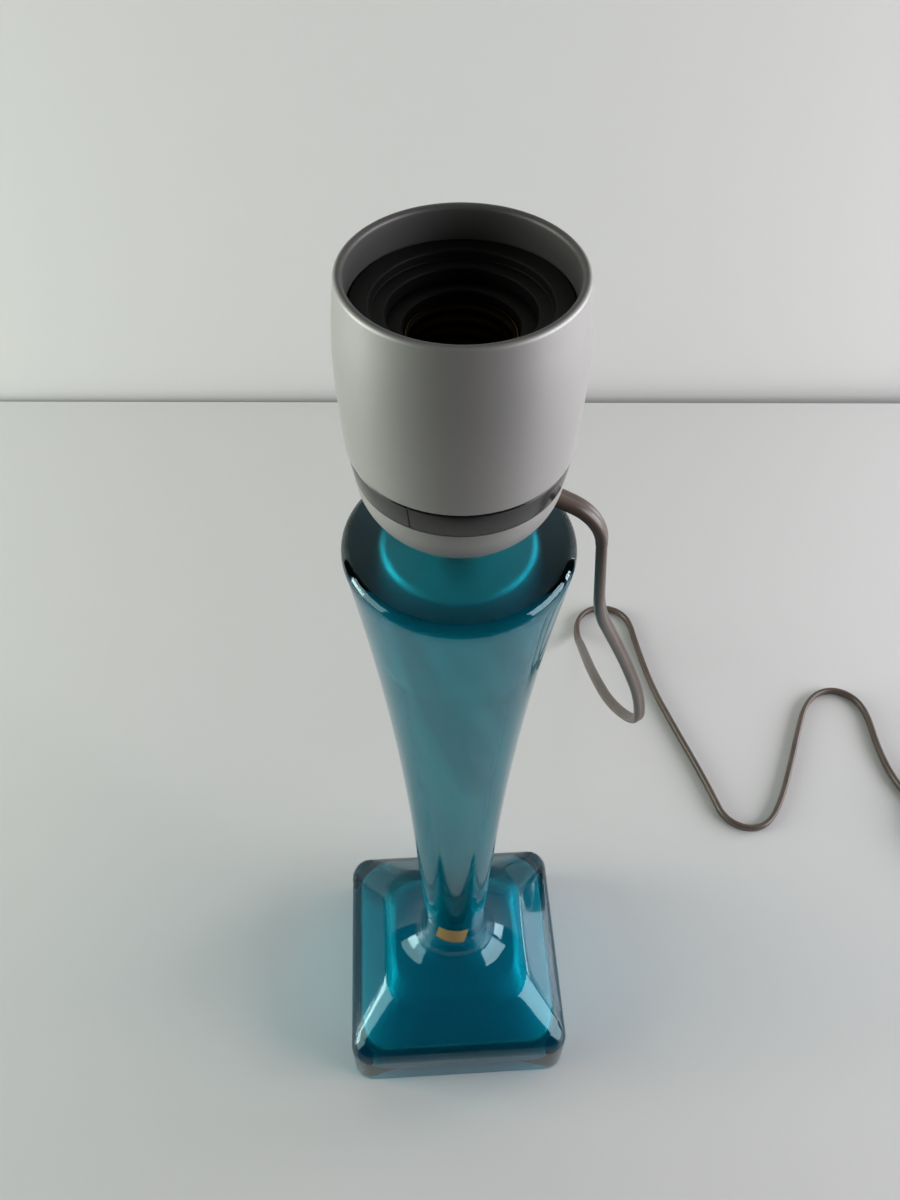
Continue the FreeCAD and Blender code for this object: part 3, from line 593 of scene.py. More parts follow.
def square_radius(half, corner, angle):
    """Radius of a rounded square at an angle.

    Where the ray meets the straight side, radius = half / cos a. Elsewhere, with c = half - corner,
    radius = c (cos a + sin a) + sqrt(corner squared - c squared (1 - sin 2a)).
    """
    fold = np.abs((angle + math.pi / 4) % (math.pi / 2) - math.pi / 4)
    half, corner = half[:, None], np.minimum(corner, half)[:, None]
    c = half - corner
    root = np.sqrt(np.maximum(corner**2 - c**2 * (1 - np.sin(2 * fold)), 0))
    bow = c * (np.cos(fold) + np.sin(fold)) + root
    return np.where(half * np.tan(fold) <= c, half / np.cos(fold), bow)


def ring_grid(radius, heights, angle):
    """Rows of points about Z: point = (r cos a, r sin a, height)."""
    level = np.repeat(heights[:, None], len(angle), 1)
    return np.stack([radius * np.cos(angle), radius * np.sin(angle), level], -1)


def foot_underside(glass):
    """The recess, the sole and the drafted wall up to the crease, as (half width, height)."""
    half, crease = glass.foot_side / 2, glass.wall_height
    top = half - crease * glass.draft
    return rounded_line([(0, RECESS_DEPTH, 0), (half - RECESS_EDGE, RECESS_DEPTH, 0),
                         (half - SOLE_EDGE, 0, 0), (half, 0, SOLE_ROUND), (top, crease, CREASE_ROUND),
                         (top - glass.slope * ROWS_START, crease + ROWS_START, 0)], 12)[:-1]


def neck_line(glass):
    """The round of the rim, the shoulder and the neck, as (radius, height)."""
    rim, shoulder = glass.rim_radius, rim_height(glass) + LIP_ROUND
    top = span_of("glass_body")[1]
    return rounded_line([(rim, rim_height(glass), 0), (rim, shoulder, LIP_ROUND),
                         (NECK_RADIUS, shoulder + NECK_RISE, NECK_FOOT_ROUND),
                         (NECK_RADIUS, top, NECK_EDGE_ROUND), (NECK_HOLE, top, 0)], 8)[1:]


def glass_bore(glass):
    """The air in the shaft, from the neck down to the narrow end over the waist, as (radius, height)."""
    waist, shoulder = waist_height(glass), rim_height(glass) + LIP_ROUND
    heights = waist + glass.shaft_length * BORE_SHARES
    radii = shaft_radius(glass, heights) - SHAFT_WALL - SHAFT_WALL_GROWTH * BORE_SHARES
    end = [(radius, waist + rise) for radius, rise in BORE_END]
    wall = smooth_line(np.vstack([np.stack([radii, heights], 1), end]), 8)
    roof = rounded_line([(NECK_HOLE, span_of("glass_body")[1], 0),
                         (NECK_HOLE, shoulder + HOLE_END_RISE, HOLE_END_ROUND),
                         (radii[0] + ROOF_REACH, shoulder - ROOF_DROP, ROOF_ROUND), (*wall[1], 0)], 16)
    return np.vstack([roof[1:-1], wall[1:]])


def foot_room(glass):
    """The passage and the room in the foot, as (half width, height), and their corner radius."""
    inner = glass.foot_side / 2 - FOOT_WALL
    passage = smooth_line([(radius, waist_height(glass) + rise) for radius, rise in PASSAGE], 6)
    room = rounded_line([(*passage[-1], 0), (*ROOM_RIDGE, RIDGE_ROUND),
                         (inner, glass.wall_height - ROOM_BEND_DROP, ROOM_ROUND),
                         (inner, ROOM_FLOOR, ROOM_ROUND), (0, ROOM_FLOOR, 0)], 10)[1:]
    corner = np.interp(room[:, 0], [0, ROOM_CORNER, ROOM_RIDGE[0], inner],
                       [0, ROOM_CORNER, RIDGE_CORNER, ROOM_CORNER])
    return np.vstack([passage, room]), np.append(np.minimum(passage[:, 0], PASSAGE_CORNER), corner)


def glass_grid(glass, steps=240):
    """The whole skin of the glass: underside, foot, cove, shaft, neck, bore and the hollow in the foot.

    Angles crowd towards the foot's corners: angle = t + 0.1375 sin 4t. Over the crease the radius is
    that of the foot and that of the cove in one, s c / (s^14 + c^14)^(1/14), which rounds their edge.
    """
    t = np.linspace(0, 2 * math.pi, steps, endpoint=False)
    angle = t + CORNER_CROWDING * np.sin(4 * t)
    under = foot_underside(glass)
    corner = np.clip(glass.foot_corner - (glass.foot_side / 2 - under[:, 0]), LEAST_CORNER, glass.foot_corner)
    rows = [ring_grid(square_radius(under[:, 0], np.minimum(corner, under[:, 0]), angle), under[:, 1], angle)]

    heights, half, corner = foot_rows(glass)
    cove = cove_line(glass)[::-1]
    cove_radius = np.interp(heights, cove[:, 1], cove[:, 0], left=BEYOND_FOOT)[:, None]
    foot_radius = square_radius(half, corner, angle)
    rounding = (foot_radius**EDGE_POWER + cove_radius**EDGE_POWER) ** (1 / EDGE_POWER)
    rows.append(ring_grid(foot_radius * cove_radius / rounding, heights, angle))

    heights = np.linspace(waist_height(glass), rim_height(glass), 60)[1:]
    shaft = np.stack([shaft_radius(glass, heights), heights], 1)
    turned = np.vstack([shaft, neck_line(glass), glass_bore(glass)])
    rows.append(ring_grid(np.repeat(turned[:, :1], steps, 1), turned[:, 1], angle))

    hollow, corner = foot_room(glass)
    rows.append(ring_grid(square_radius(hollow[:, 0], corner, angle), hollow[:, 1], angle))
    return np.concatenate(rows, 0)


class LAMP_OT_glass(bpy.types.Operator):
    """Makes the glass body with its hollow"""
    bl_idname = "lamp.glass"
    bl_label = "Glass body"

    def execute(self, context):
        glass = context.scene.lamp_glass
        mesh = mesh_from_grid("glass_body_look", glass_grid(glass), sharp=50.0)
        add_piece("glass_body_look", mesh, glass_finish("petrol glass", glass), ["glass_body"])
        return {"FINISHED"}


# Label

LABEL_HALF_WIDTH = 0.0077
LABEL_HALF_HEIGHT = 0.0080
LABEL_THICKNESS = 0.00012
LABEL_RISE = 0.015
LABEL_TILT = math.radians(8)
LABEL_TURN = math.radians(-99)


def label_grid(glass):
    """A tilted slip that follows the shaft, with its back: angle = turn + way along the skin / radius."""
    u, v = np.meshgrid(np.linspace(-1, 1, 41), np.linspace(-1, 1, 33))
    across = u * LABEL_HALF_WIDTH
    up = v * LABEL_HALF_HEIGHT
    side = across * math.cos(LABEL_TILT) + up * math.sin(LABEL_TILT)
    z = waist_height(glass) + LABEL_RISE + up * math.cos(LABEL_TILT) - across * math.sin(LABEL_TILT)
    radius = shaft_radius(glass, z) + LABEL_THICKNESS
    angle = LABEL_TURN + side / radius
    skin = np.stack([radius * np.cos(angle), radius * np.sin(angle), z], -1)
    out = np.stack([np.cos(angle), np.sin(angle), 0 * z], -1)
    return np.concatenate([skin + out * LABEL_THICKNESS, skin[::-1]], 0)


class LAMP_OT_label(bpy.types.Operator):
    """Makes the small paper label on the shaft"""
    bl_idname = "lamp.label"
    bl_label = "Label"

    def execute(self, context):
        grid = label_grid(context.scene.lamp_glass)
        mesh = mesh_from_grid("label", grid, around=False, along=True, sharp=40.0)
        material = bpy.data.materials.new("ochre paper")
        tree = Tree(material)
        color = blend_color(tree, object_noise(tree, 900.0, 4.0), (0.30, 0.19, 0.055), (0.42, 0.28, 0.09))
        surface = tree.add("ShaderNodeBsdfPrincipled", None, {"Base Color": color, "Roughness": 0.45})
        tree.add("ShaderNodeOutputMaterial", None, {"Surface": surface})
        add_piece("label", mesh, material, ["glass_label"])
        return {"FINISHED"}


# Lampholder

CUP_FOOT_RADIUS = 0.031
CUP_BELLY = (0.0318, 0.0208)
CUP_SHOULDER = (0.03145, 0.0347)
CUP_INSIDE = 0.0276
CUP_HOLE = 0.012
CUP_FLOOR = 0.0024
CUP_EDGE = 0.0008
CUP_LIP = 0.0012
CUP_INSIDE_TOP = 0.002
CUP_SIDE_START = 0.0009
# Painted shade: inside this radius the cup's colour is darkened by the factor below, for the shade within the
# cup.
CUP_SHADE_RADIUS = 0.0292
CUP_INSIDE_SHADE = 0.38
DOME_HOLE = 0.0053
DOME_FLAT = 0.009
DOME_REACH = 0.0203
DOME_DROP = 0.0208
DOME_WALL = 0.0012
RING_INSIDE = 0.0273
RING_FOOT = 0.0294
RING_TOP = 0.0307
RING_EDGE = 0.0004
ARM_LIMIT = 0.0272
GROOVE_ANGLE = math.radians(-119.5)
GROOVE_DEPTH = 0.0004
GROOVE_HALF = 0.00028
GROOVE_RADIUS = 0.030
GROOVE_LIMIT = 0.028
INSERT_RADIUS = 0.0198
INSERT_HOLE = 0.0143
INSERT_ROUND = 0.001
SOFT_EDGE = 0.0006
SHELL_SEAT_RADIUS = 0.0134
SHELL_SEAT = 0.42115
SHELL_LEDGE = 0.42785
SHELL_INSIDE = 0.01365
SHELL_OUTSIDE = 0.01390
THREAD_PITCH = 0.00363
THREAD_SWING = 0.00025
THREAD_INSET = 0.00015
THREAD_FADE = 0.002
COLLAR_INSIDE = 0.0201
COLLAR_OUTSIDE = 0.0225
COLLAR_HEIGHT = 0.010
COLLAR_SEAM = (0.0118, 0.012)
FLANGE_INSIDE = 0.0262
FLANGE_OUTSIDE = 0.0272
FLANGE_BEVEL = 0.001
STEP_RADIUS = 0.022
STEP_DEPTH = 0.0027
STEP_EDGE = 0.0004
MOUTH_RADIUS = 0.0183
MOUTH_UNDERSIDE = 0.4507


def turned_piece(name, line, material, node, steps, along=True, radius_at=None, body="base"):
    """A turned piece in place of one CAD node. Its line closes on itself where along is true."""
    add_piece(name, lathe(name, line, steps, along, radius_at), material, [node], body)


def cup_line(holder):
    """The cup's outside, its lip, its inside and its floor, as (radius, height).

    The lip is half an ellipse: radius = middle + half wall x cos a, height = lip base + lip x sin a.
    """
    base, top = span_of("upper_cup")
    rim, lip_base = holder.rim_radius, top - CUP_LIP
    side = smooth_line([(CUP_FOOT_RADIUS, base + CUP_EDGE), (CUP_BELLY[0], base + CUP_BELLY[1]),
                        (CUP_SHOULDER[0], base + CUP_SHOULDER[1]), (rim, lip_base)], 14)
    turn = np.linspace(0, math.pi, 14)[1:]
    lip = np.stack([(rim + CUP_INSIDE) / 2 + (rim - CUP_INSIDE) / 2 * np.cos(turn),
                    lip_base + CUP_LIP * np.sin(turn)], 1)
    floor = rounded_line([(CUP_INSIDE, top - CUP_INSIDE_TOP, 0), (CUP_INSIDE, base + CUP_FLOOR, CUP_EDGE),
                          (CUP_HOLE, base + CUP_FLOOR, 0), (CUP_HOLE, base, 0),
                          (CUP_FOOT_RADIUS, base, CUP_EDGE), (CUP_FOOT_RADIUS, base + CUP_SIDE_START, 0)], 6)
    return np.vstack([side, lip, floor[:-1]])


def dome_line():
    """The dome's shell as (radius, height): radius = flat + reach x cos a, height = top + drop x sin a."""
    low, high = span_of("lower_dome")
    turn = np.linspace(-math.pi / 2, 0, 40)
    skins = [np.stack([DOME_FLAT + (DOME_REACH - wall) * np.cos(turn),
                       high + (DOME_DROP - wall) * np.sin(turn)], 1) for wall in (0, DOME_WALL)]
    return np.vstack([[[DOME_HOLE, low]], skins[0], skins[1][::-1], [[DOME_HOLE, low + DOME_WALL]]])


class LAMP_OT_cup(bpy.types.Operator):
    """Makes the cup and the dome"""
    bl_idname = "lamp.cup"
    bl_label = "Cup and dome"

    def execute(self, context):
        holder = context.scene.lamp_holder
        satin = dict(color=holder.cup_color, roughness=0.50, metallic=0.45, grain=500.0, relief=0.08)
        grey = plain_finish("satin grey", **satin)
        # The darker grey inside the cup is painted shade.
        inside_shade = (CUP_SHADE_RADIUS, tuple(CUP_INSIDE_SHADE * c for c in holder.cup_color))
        shaded_grey = plain_finish("satin grey, painted shade inside", inside=inside_shade, **satin)
        turned_piece("cup", cup_line(holder), shaded_grey, "upper_cup", 160)
        turned_piece("dome", dome_line(), grey, "lower_dome", 160)
        return {"FINISHED"}


def groove(angles, heights, radii):
    """One fine upright groove on the outside alone: e to the minus (way across / half width)^4, deep."""
    across = (angles - GROOVE_ANGLE + math.pi) % (2 * math.pi) - math.pi
    depth = np.exp(-(across * GROOVE_RADIUS / GROOVE_HALF) ** 4)
    return -GROOVE_DEPTH * depth * (radii > GROOVE_LIMIT)


class LAMP_OT_switch_ring(bpy.types.Operator):
    """Makes the switch ring with its inner arm and its wiper"""
    bl_idname = "lamp.switch_ring"
    bl_label = "Switch ring"

    def execute(self, context):
        black = plain_finish("glossy black", context.scene.lamp_holder.ring_color, 0.20, grain=200.0)
        low, high = span_of("switch_ring")
        band = rounded_line([(RING_INSIDE, low, 0), (RING_FOOT, low, RING_EDGE),
                             (RING_TOP, high, RING_EDGE), (RING_INSIDE, high, 0),
                             (RING_INSIDE, low, 0)], 5)[:-1]
        turned_piece("ring_band", band, black, "switch_ring", 1440, radius_at=groove,
                     body="ring")
        arm = merged_copy("switch_ring", within=ARM_LIMIT)
        add_piece("ring_lug", arm, shared_finish("dull black"), [], "ring")
        dress("switch_wiper", "wiper", "dark brass", "ring")
        return {"FINISHED"}


class LAMP_OT_contacts(bpy.types.Operator):
    """Makes the terminals, the contacts and the inner wires"""
    bl_idname = "lamp.contacts"
    bl_label = "Contacts"

    def execute(self, context):
        dress("terminal_block", "terminal_block_look", "dull black")
        for node in ("switch_contacts", "terminal_screws", "contact_foot"):
            dress(node, node + "_look", "dark brass")
        dress("contact_tongue", "tongue_look", "dark brass", "tongue")
        dress("core_wires", "core_wires_look", "core sheath")
        return {"FINISHED"}


class LAMP_OT_fixings(bpy.types.Operator):
    """Makes the bung, the tube, the washers, the nuts and the screws that hold the lampholder"""
    bl_idname = "lamp.fixings"
    bl_label = "Fixings"

    def execute(self, context):
        for node in ("threaded_tube", "bung_washer", "bung_nut", "dome_washer", "dome_locknut",
                     "fixing_screws"):
            dress(node, node + "_look", "plated steel")
        for node in ("rubber_bung", "neck_washer"):
            dress(node, node + "_look", "aged rubber")
        return {"FINISHED"}


def insert_line():
    """The lampholder's insert with the seat of its shell, as (radius, height)."""
    low, high = span_of("lampholder_body")
    return rounded_line([(0, low, 0), (INSERT_RADIUS, low, SOFT_EDGE), (INSERT_RADIUS, high, INSERT_ROUND),
                         (INSERT_HOLE, high, SOFT_EDGE), (INSERT_HOLE, SHELL_LEDGE, 0),
                         (SHELL_SEAT_RADIUS, SHELL_LEDGE, 0), (SHELL_SEAT_RADIUS, SHELL_SEAT, 0),
                         (0, SHELL_SEAT, 0)], 6)


def shade_ring_line():
    """The shade ring: a collar round the insert, a flange, a step and a mouth, as (radius, height)."""
    low, high = span_of("shade_ring")
    flange = low + COLLAR_HEIGHT
    step = high - STEP_DEPTH
    return rounded_line([(COLLAR_INSIDE, low + COLLAR_SEAM[1], 0), (COLLAR_INSIDE, low, 0),
                         (COLLAR_OUTSIDE, low, 0), (COLLAR_OUTSIDE, flange, 0), (FLANGE_INSIDE, flange, 0),
                         (FLANGE_OUTSIDE, flange + FLANGE_BEVEL, 0), (FLANGE_OUTSIDE, high, SOFT_EDGE),
                         (STEP_RADIUS, high, SOFT_EDGE), (STEP_RADIUS, step, STEP_EDGE),
                         (MOUTH_RADIUS, step, SOFT_EDGE), (MOUTH_RADIUS, MOUTH_UNDERSIDE, 0),
                         (COLLAR_INSIDE, MOUTH_UNDERSIDE, 0),
                         (COLLAR_INSIDE, low + COLLAR_SEAM[0], 0)], 6)[:-1]


def thread(angles, heights, radii):
    """A rope thread: the radius swings as the cosine of height over the pitch less the angle."""
    fade = np.clip((heights.max() - heights) / THREAD_FADE, 0, 1)
    return THREAD_SWING * fade * np.cos(2 * math.pi * heights / THREAD_PITCH - angles) - THREAD_INSET


class LAMP_OT_socket(bpy.types.Operator):
    """Makes the insert, the shade ring and the threaded shell"""
    bl_idname = "lamp.socket"
    bl_label = "Socket"

    def execute(self, context):
        dull = shared_finish("dull black")
        turned_piece("socket_body", insert_line(), dull, "lampholder_body", 128, along=False)
        turned_piece("shade_ring_look", shade_ring_line(), dull, "shade_ring", 160)
        low, high = span_of("screw_shell")
        rise = np.linspace(low, high, 90)
        wall = np.vstack([np.stack([np.full(90, SHELL_INSIDE), rise], 1),
                          np.stack([np.full(90, SHELL_OUTSIDE), rise[::-1]], 1)])
        turned_piece("thread_shell", wall, shared_finish("dark brass"), "screw_shell", 96,
                     radius_at=thread)
        return {"FINISHED"}


# Flex

ROUTE = [
    (0.04107, -0.00873, 0.38034), (0.04235, -0.00900, 0.3654), (0.0455, -0.0035, 0.341),
    (0.055, 0.0065, 0.314), (0.0665, 0.0175, 0.281), (0.079, 0.027, 0.243), (0.087, 0.0385, 0.2015),
    (0.084, 0.074, 0.1645), (0.085, 0.1175, 0.1305), (0.0915, 0.1615, 0.087), (0.0985, 0.202, 0.0445),
    (0.1035, 0.2235, 0.017), (0.1055, 0.2405, 0.00285), (0.1075, 0.254, 0.00285), (0.116, 0.263, 0.00285),
    (0.128, 0.2655, 0.00285), (0.1395, 0.261, 0.00285), (0.1465, 0.251, 0.00285), (0.148, 0.2295, 0.00285),
    (0.1525, 0.192, 0.00285), (0.162, 0.157, 0.00285), (0.171, 0.1265, 0.00285), (0.177, 0.1035, 0.00285),
    (0.1805, 0.087, 0.00285), (0.1935, 0.078, 0.00285), (0.2085, 0.0805, 0.00285), (0.2215, 0.0975, 0.00285),
    (0.2355, 0.125, 0.00285), (0.249, 0.1535, 0.00285), (0.2575, 0.1695, 0.00285), (0.269, 0.180, 0.00285),
    (0.2835, 0.1815, 0.00285), (0.295, 0.173, 0.00285), (0.299, 0.1585, 0.00285), (0.2975, 0.132, 0.00285),
    (0.3005, 0.1065, 0.00285), (0.309, 0.0885, 0.00385)]
COIL_MIDDLE = (0.345, 0.072)
COIL_RADIUS = 0.036
COIL_PITCH = 0.0062
COIL_HEIGHT = 0.00385
COIL_RISE = 0.0062
COIL_LEAD = 0.033
COIL_POINTS = 16
# How dark the flex's random patches are.
DARK_PATCH_FACTOR = 0.72
SLEEVE_START = (0.0268, 0.3968)
SLEEVE_TURN = math.radians(-12)
SLEEVE_TILT = math.radians(25)
SLEEVE_RUN = (-0.0034, 0.006)
SLEEVE_BEND = math.radians(60)
SLEEVE_BEND_RADIUS = 0.017
SLEEVE_WIDE = (0.208, 0.978, 0.0)
SLEEVE_SCALES = (1.15, 1.15, 1.02)
SLEEVE_PLUMPNESS = 1.06

# How far along the flex, and which way its width points there

WIDE_RUNS = (0.0, 0.10, 0.22, 0.36, 0.43, 0.50, 2.5)
WIDE_WAYS = ((0.21, 0.98, 0), (0.5, 0.87, 0.1), (0.95, 0.3, 0.1), (1, 0.1, 0.15), (0.9, 0, 0.5), (0.05, 0, 1),
             (0.05, 0, 1))


def coil_points(turns_in):
    """The coil's control points, 16 to a turn.

    The radius falls at a steady rate up to the middle of the climb and grows at the same rate after
    it. The height rises by one layer as half a cosine wave over the half turn round that middle.
    """
    turning, turns = turns_in + 0.25, 2 * turns_in + 0.5
    t = np.arange(0, turns + 1e-6, 1 / COIL_POINTS)
    radius = COIL_RADIUS - COIL_PITCH * (turning - np.abs(t - turning))
    share = np.clip((t - turns_in) / 0.5, 0, 1)
    height = COIL_HEIGHT + COIL_RISE * (1 - np.cos(math.pi * share)) / 2
    angle = math.pi + 2 * math.pi * t
    points = np.stack([COIL_MIDDLE[0] + radius * np.cos(angle), COIL_MIDDLE[1] + radius * np.sin(angle),
                       height], 1)
    end = points[-1]
    lead = [end + np.array([0, COIL_LEAD * k / 3, 0]) for k in (1, 2, 3)]
    return np.vstack([points, lead])


def spline_line(points):
    """The points along a smooth NURBS spline that has these control points."""
    curve = bpy.data.curves.new("route", "CURVE")
    curve.dimensions = "3D"
    spline = curve.splines.new("NURBS")
    spline.points.add(len(points) - 1)
    spline.points.foreach_set("co", np.hstack([points, np.ones((len(points), 1))]).ravel())
    spline.order_u = 3
    spline.use_endpoint_u = True
    spline.resolution_u = 12
    holder = bpy.data.objects.new("route", curve)
    bpy.context.scene.collection.objects.link(holder)
    mesh = bpy.data.meshes.new_from_object(holder)
    line = np.empty(len(mesh.vertices) * 3)
    mesh.vertices.foreach_get("co", line)
    bpy.data.objects.remove(holder)
    bpy.data.meshes.remove(mesh)
    bpy.data.curves.remove(curve)
    return line.reshape(-1, 3)


def twin_section(width, thickness, steps=28):
    """A flat twin section: two round cores side by side, with a shallow groove between them.

    At x across the width, half the height is sqrt(r squared - (|x| - c) squared), where r is half
    the thickness and c half the distance between the cores.
    """
    r = thickness / 2
    c = width / 2 - r
    angle = np.linspace(0, 2 * math.pi, steps, endpoint=False) + math.pi / steps
    x = (c + r) * np.cos(angle)
    y = np.sign(np.sin(angle)) * np.sqrt(np.maximum(r**2 - (np.abs(x) - c)**2, 0))
    return np.stack([x, y], 1)


def sweep(name, line, section, wide_ways, scales=None):
    """Carries a section along a line. wide_ways gives the way of the section's width at each point."""
    tangent = np.gradient(line, axis=0)
    tangent /= np.linalg.norm(tangent, axis=1, keepdims=True)
    wide = wide_ways - (wide_ways * tangent).sum(1, keepdims=True) * tangent
    wide /= np.linalg.norm(wide, axis=1, keepdims=True)
    thin = np.cross(tangent, wide)
    size = np.ones(len(line)) if scales is None else scales
    grid = (line[:, None] + wide[:, None] * (section[None, :, :1] * size[:, None, None])
            + thin[:, None] * (section[None, :, 1:] * size[:, None, None]))
    return mesh_from_grid(name, grid, sharp=60.0, uv=True)


def flex_finish(color):
    """Satin sheath, darker in faint patches at random along it."""
    material = bpy.data.materials.new("taupe sheath")
    tree = Tree(material)
    noise = object_noise(tree, 60.0, 4.0)
    darker = tuple(DARK_PATCH_FACTOR * c for c in color)
    surface = tree.add("ShaderNodeBsdfPrincipled", None, {
        "Base Color": blend_color(tree, noise.step(0.35, 0.7), darker, color),
        "Roughness": noise * 0.12 + 0.30})
    tree.add("ShaderNodeOutputMaterial", None, {"Surface": surface})
    return material


def sleeve_line():
    """The sleeve's middle: a straight run that tilts down, and an arc that bends it further down.

    Along the arc, point = corner + radius x (out (sin a - sin tilt) + up (cos a - cos tilt)).
    """
    out = np.array([math.cos(SLEEVE_TURN), math.sin(SLEEVE_TURN), 0])
    up = np.array([0, 0, 1])
    start = out * SLEEVE_START[0] + up * SLEEVE_START[1]
    way = out * math.cos(SLEEVE_TILT) - up * math.sin(SLEEVE_TILT)
    straight = start + way * np.linspace(*SLEEVE_RUN, 10)[:, None]
    angle = (SLEEVE_TILT + np.linspace(0, SLEEVE_BEND, 24)[1:])[:, None]
    bow = out * (np.sin(angle) - math.sin(SLEEVE_TILT)) + up * (np.cos(angle) - math.cos(SLEEVE_TILT))
    return np.vstack([straight, start + way * SLEEVE_RUN[1] + SLEEVE_BEND_RADIUS * bow])


class LAMP_OT_flex(bpy.types.Operator):
    """Makes the flex with its sleeve, tie and plug"""
    bl_idname = "lamp.flex"
    bl_label = "Flex"

    def execute(self, context):
        flex = context.scene.lamp_flex
        taupe = flex_finish(flex.color)
        line = spline_line(np.vstack([ROUTE, coil_points(flex.coil_turns)]))
        run = np.concatenate([[0], np.cumsum(np.linalg.norm(np.diff(line, axis=0), axis=1))])
        wide = np.stack([np.interp(run, WIDE_RUNS, way) for way in np.transpose(WIDE_WAYS)], 1)
        mesh = sweep("flex", line, twin_section(flex.width, flex.thickness), wide)
        cord = add_piece("flex", mesh, taupe, ["flex_free", "flex_coil"])
        plug = dress("plug_body", "plug", "dark moulding")
        pins = dress("plug_pins", "pins", "pin brass")
        tie = dress("cord_tie", "tie", "dark moulding")

        middle = sleeve_line()
        scale = np.interp(np.arange(len(middle)), [0, 9, len(middle) - 1], SLEEVE_SCALES)
        section = twin_section(flex.width, flex.thickness * SLEEVE_PLUMPNESS)
        sleeve = sweep("sleeve", middle, section, np.repeat([SLEEVE_WIDE], len(middle), 0), scale)
        add_piece("sleeve", sleeve, taupe, ["cord_sleeve"])
        return {"FINISHED"}


# Stage

STAGE_TURN = math.radians(-3.3)
TABLE_HALF = 0.9
TABLE_FRONT = -0.30
WALL_HALF = 1
WALL_FOOT = -0.2
WALL_TOP = 2
WALL_SLANT = 0.02
CAMERA_PLACE = (-0.0144, -0.2032, 0.5952)
CAMERA_TILT = math.radians(39.2)
CAMERA_ROLL = math.radians(0.12)
CAMERA_LENS = 30.0
CAMERA_SENSOR = 36.0
WORLD_LIGHT = 0.03
WORLD_SEEN = 0.60
LAMPS = (
    ("left window", (-1.4, -0.1, 0.6), (0, 0, 0.30), (1.0, 1.1), 14, (0.95, 1.0, 0.93)),
    ("left pane", (-1.4, 0.15, 0.35), (0, 0.1, 0.1), (0.4, 0.6), 8, (0.93, 1.0, 0.94)),
    ("right window", (1.4, -0.35, 0.6), (0, 0.1, 0.30), (1.0, 1.1), 24, (0.97, 0.95, 1.0)),
    ("right pane", (1.4, 0.50, 0.38), (0, 0.2, 0.1), (0.6, 0.6), 12, (0.93, 0.93, 1.0)))


def flat_card(name, corners, material):
    """A flat face through its corners, turned about Z as the whole stage is."""
    turn = Matrix.Rotation(STAGE_TURN, 4, "Z")
    mesh = bpy.data.meshes.new(name)
    mesh.from_pydata([turn @ Vector(corner) for corner in corners], [], [list(range(len(corners)))])
    card = bpy.data.objects.new(name, mesh)
    bpy.context.scene.collection.objects.link(card)
    mesh.materials.append(material)


def soft_lamp(name, place, target, size, power, color):
    """A rectangular area lamp at a place, turned to its target."""
    light = bpy.data.lights.new(name, "AREA")
    light.shape = "RECTANGLE"
    light.size, light.size_y = size
    light.energy = power
    light.color = color
    lamp = bpy.data.objects.new(name, light)
    lamp.location = place
    lamp.rotation_euler = (Vector(target) - Vector(place)).to_track_quat("-Z", "Y").to_euler()
    bpy.context.scene.collection.objects.link(lamp)


def pale_world(scene):
    """A world that the camera and the glass see as pale, and that gives little light."""
    scene.world = scene.world or bpy.data.worlds.new("world")
    tree = Tree(scene.world)
    to_camera = tree.add("ShaderNodeLightPath", out="Is Camera Ray")
    through_glass = tree.out(to_camera, "Is Transmission Ray")
    strength = to_camera.larger(through_glass) * (WORLD_SEEN - WORLD_LIGHT) + WORLD_LIGHT
    sky = tree.add("ShaderNodeBackground", None, {"Color": (0.95, 0.95, 0.95), "Strength": strength})
    tree.add("ShaderNodeOutputWorld", None, {"Surface": sky})


def photo_camera(scene):
    """The camera at the photograph's viewing angle."""
    view = bpy.data.cameras.new("camera")
    view.lens = CAMERA_LENS
    view.sensor_width = CAMERA_SENSOR
    view.sensor_fit = "AUTO"
    view.clip_start = 0.01
    view.clip_end = 20
    camera = bpy.data.objects.new("camera", view)
    camera.matrix_world = (Matrix.Translation(CAMERA_PLACE) @ Matrix.Rotation(STAGE_TURN, 4, "Z")
                           @ Matrix.Rotation(CAMERA_TILT, 4, "X") @ Matrix.Rotation(CAMERA_ROLL, 4, "Z"))
    scene.collection.objects.link(camera)
    scene.camera = camera


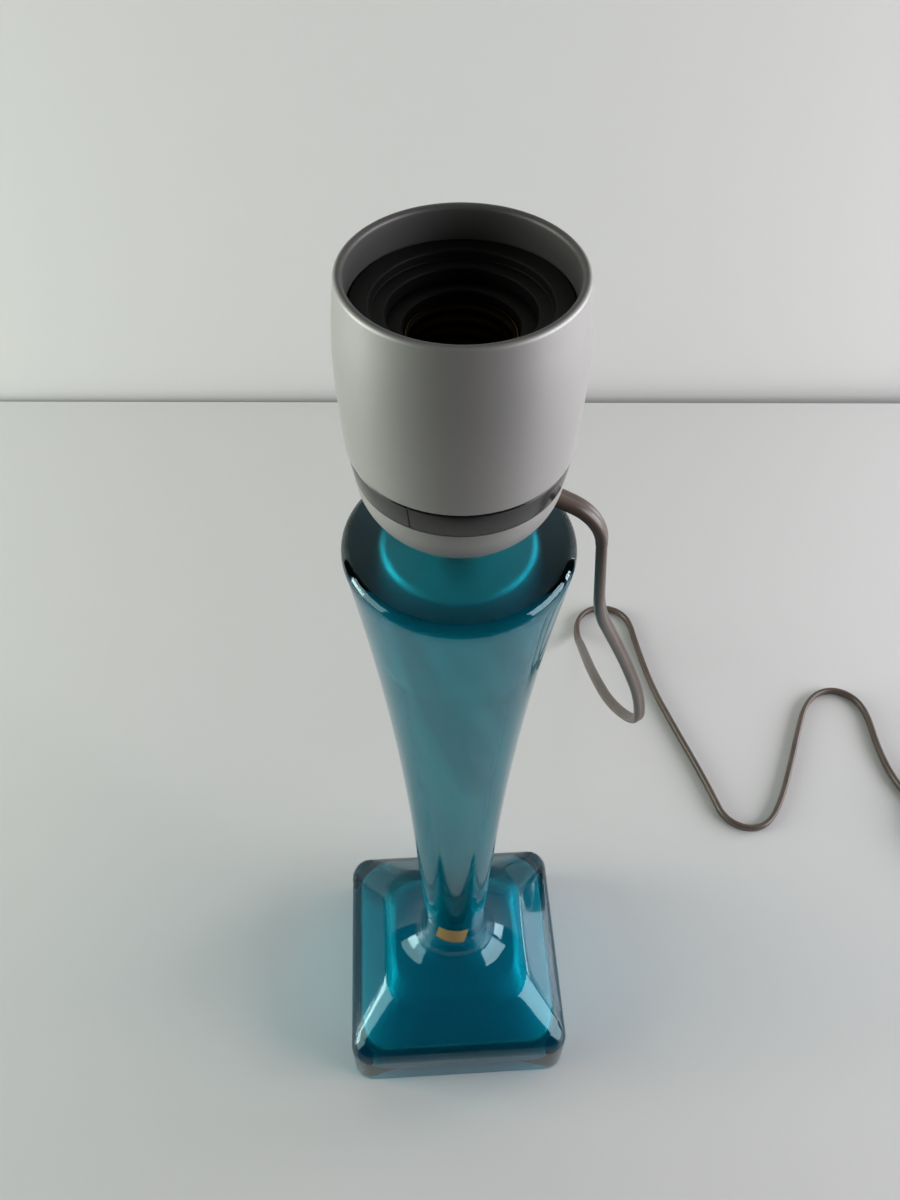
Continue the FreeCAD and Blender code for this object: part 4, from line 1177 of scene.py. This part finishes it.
class LAMP_OT_stage(bpy.types.Operator):
    """Makes the table, the wall, the lights and the camera"""
    bl_idname = "lamp.stage"
    bl_label = "Stage"

    def execute(self, context):
        stage = context.scene.lamp_stage
        back = stage.wall_distance
        table = plain_finish("table top", stage.table_color, 0.22, grain=40.0)
        flat_card("table", [(-TABLE_HALF, TABLE_FRONT, 0), (TABLE_HALF, TABLE_FRONT, 0),
                            (TABLE_HALF, back, 0), (-TABLE_HALF, back, 0)], table)
        wall = plain_finish("wall", stage.wall_color, 0.8, grain=20.0, one_sided=True)
        flat_card("backdrop", [(-WALL_HALF, back, WALL_FOOT), (WALL_HALF, back + WALL_SLANT, WALL_FOOT),
                               (WALL_HALF, back + WALL_SLANT, WALL_TOP), (-WALL_HALF, back, WALL_TOP)], wall)
        for lamp in LAMPS:
            soft_lamp(*lamp)
        pale_world(context.scene)
        photo_camera(context.scene)
        context.scene.view_settings.view_transform = "Standard"
        return {"FINISHED"}


class LAMP_PT_panel(bpy.types.Panel):
    """The lamp's sizes and its building steps"""
    bl_idname = "LAMP_PT_panel"
    bl_label = "Glass table lamp"
    bl_space_type = "VIEW_3D"
    bl_region_type = "UI"
    bl_category = "Lamp"

    def draw(self, context):
        for group in ("lamp_glass", "lamp_holder", "lamp_flex", "lamp_stage"):
            box = self.layout.box()
            settings = getattr(context.scene, group)
            for key in settings.__annotations__:
                box.prop(settings, key)
        for step in STEPS:
            self.layout.operator("lamp." + step)


STEPS = ("stage", "glass", "label", "cup", "switch_ring", "contacts", "fixings", "socket", "flex")
GROUPS = (("lamp_glass", GlassSettings), ("lamp_holder", HolderSettings), ("lamp_flex", FlexSettings),
          ("lamp_stage", StageSettings))
CLASSES = (LAMP_OT_stage, LAMP_OT_glass, LAMP_OT_label, LAMP_OT_cup, LAMP_OT_switch_ring, LAMP_OT_contacts,
           LAMP_OT_fixings, LAMP_OT_socket, LAMP_OT_flex, LAMP_PT_panel)


def register():
    for name, group in GROUPS:
        bpy.utils.register_class(group)
        setattr(bpy.types.Scene, name, PointerProperty(type=group))
    for kind in CLASSES:
        bpy.utils.register_class(kind)


def unregister():
    for kind in reversed(CLASSES):
        bpy.utils.unregister_class(kind)
    for name, group in reversed(GROUPS):
        delattr(bpy.types.Scene, name)
        bpy.utils.unregister_class(group)


def main():
    register()
    for step in STEPS:
        getattr(bpy.ops.lamp, step)()


if __name__ == "__main__":
    main()
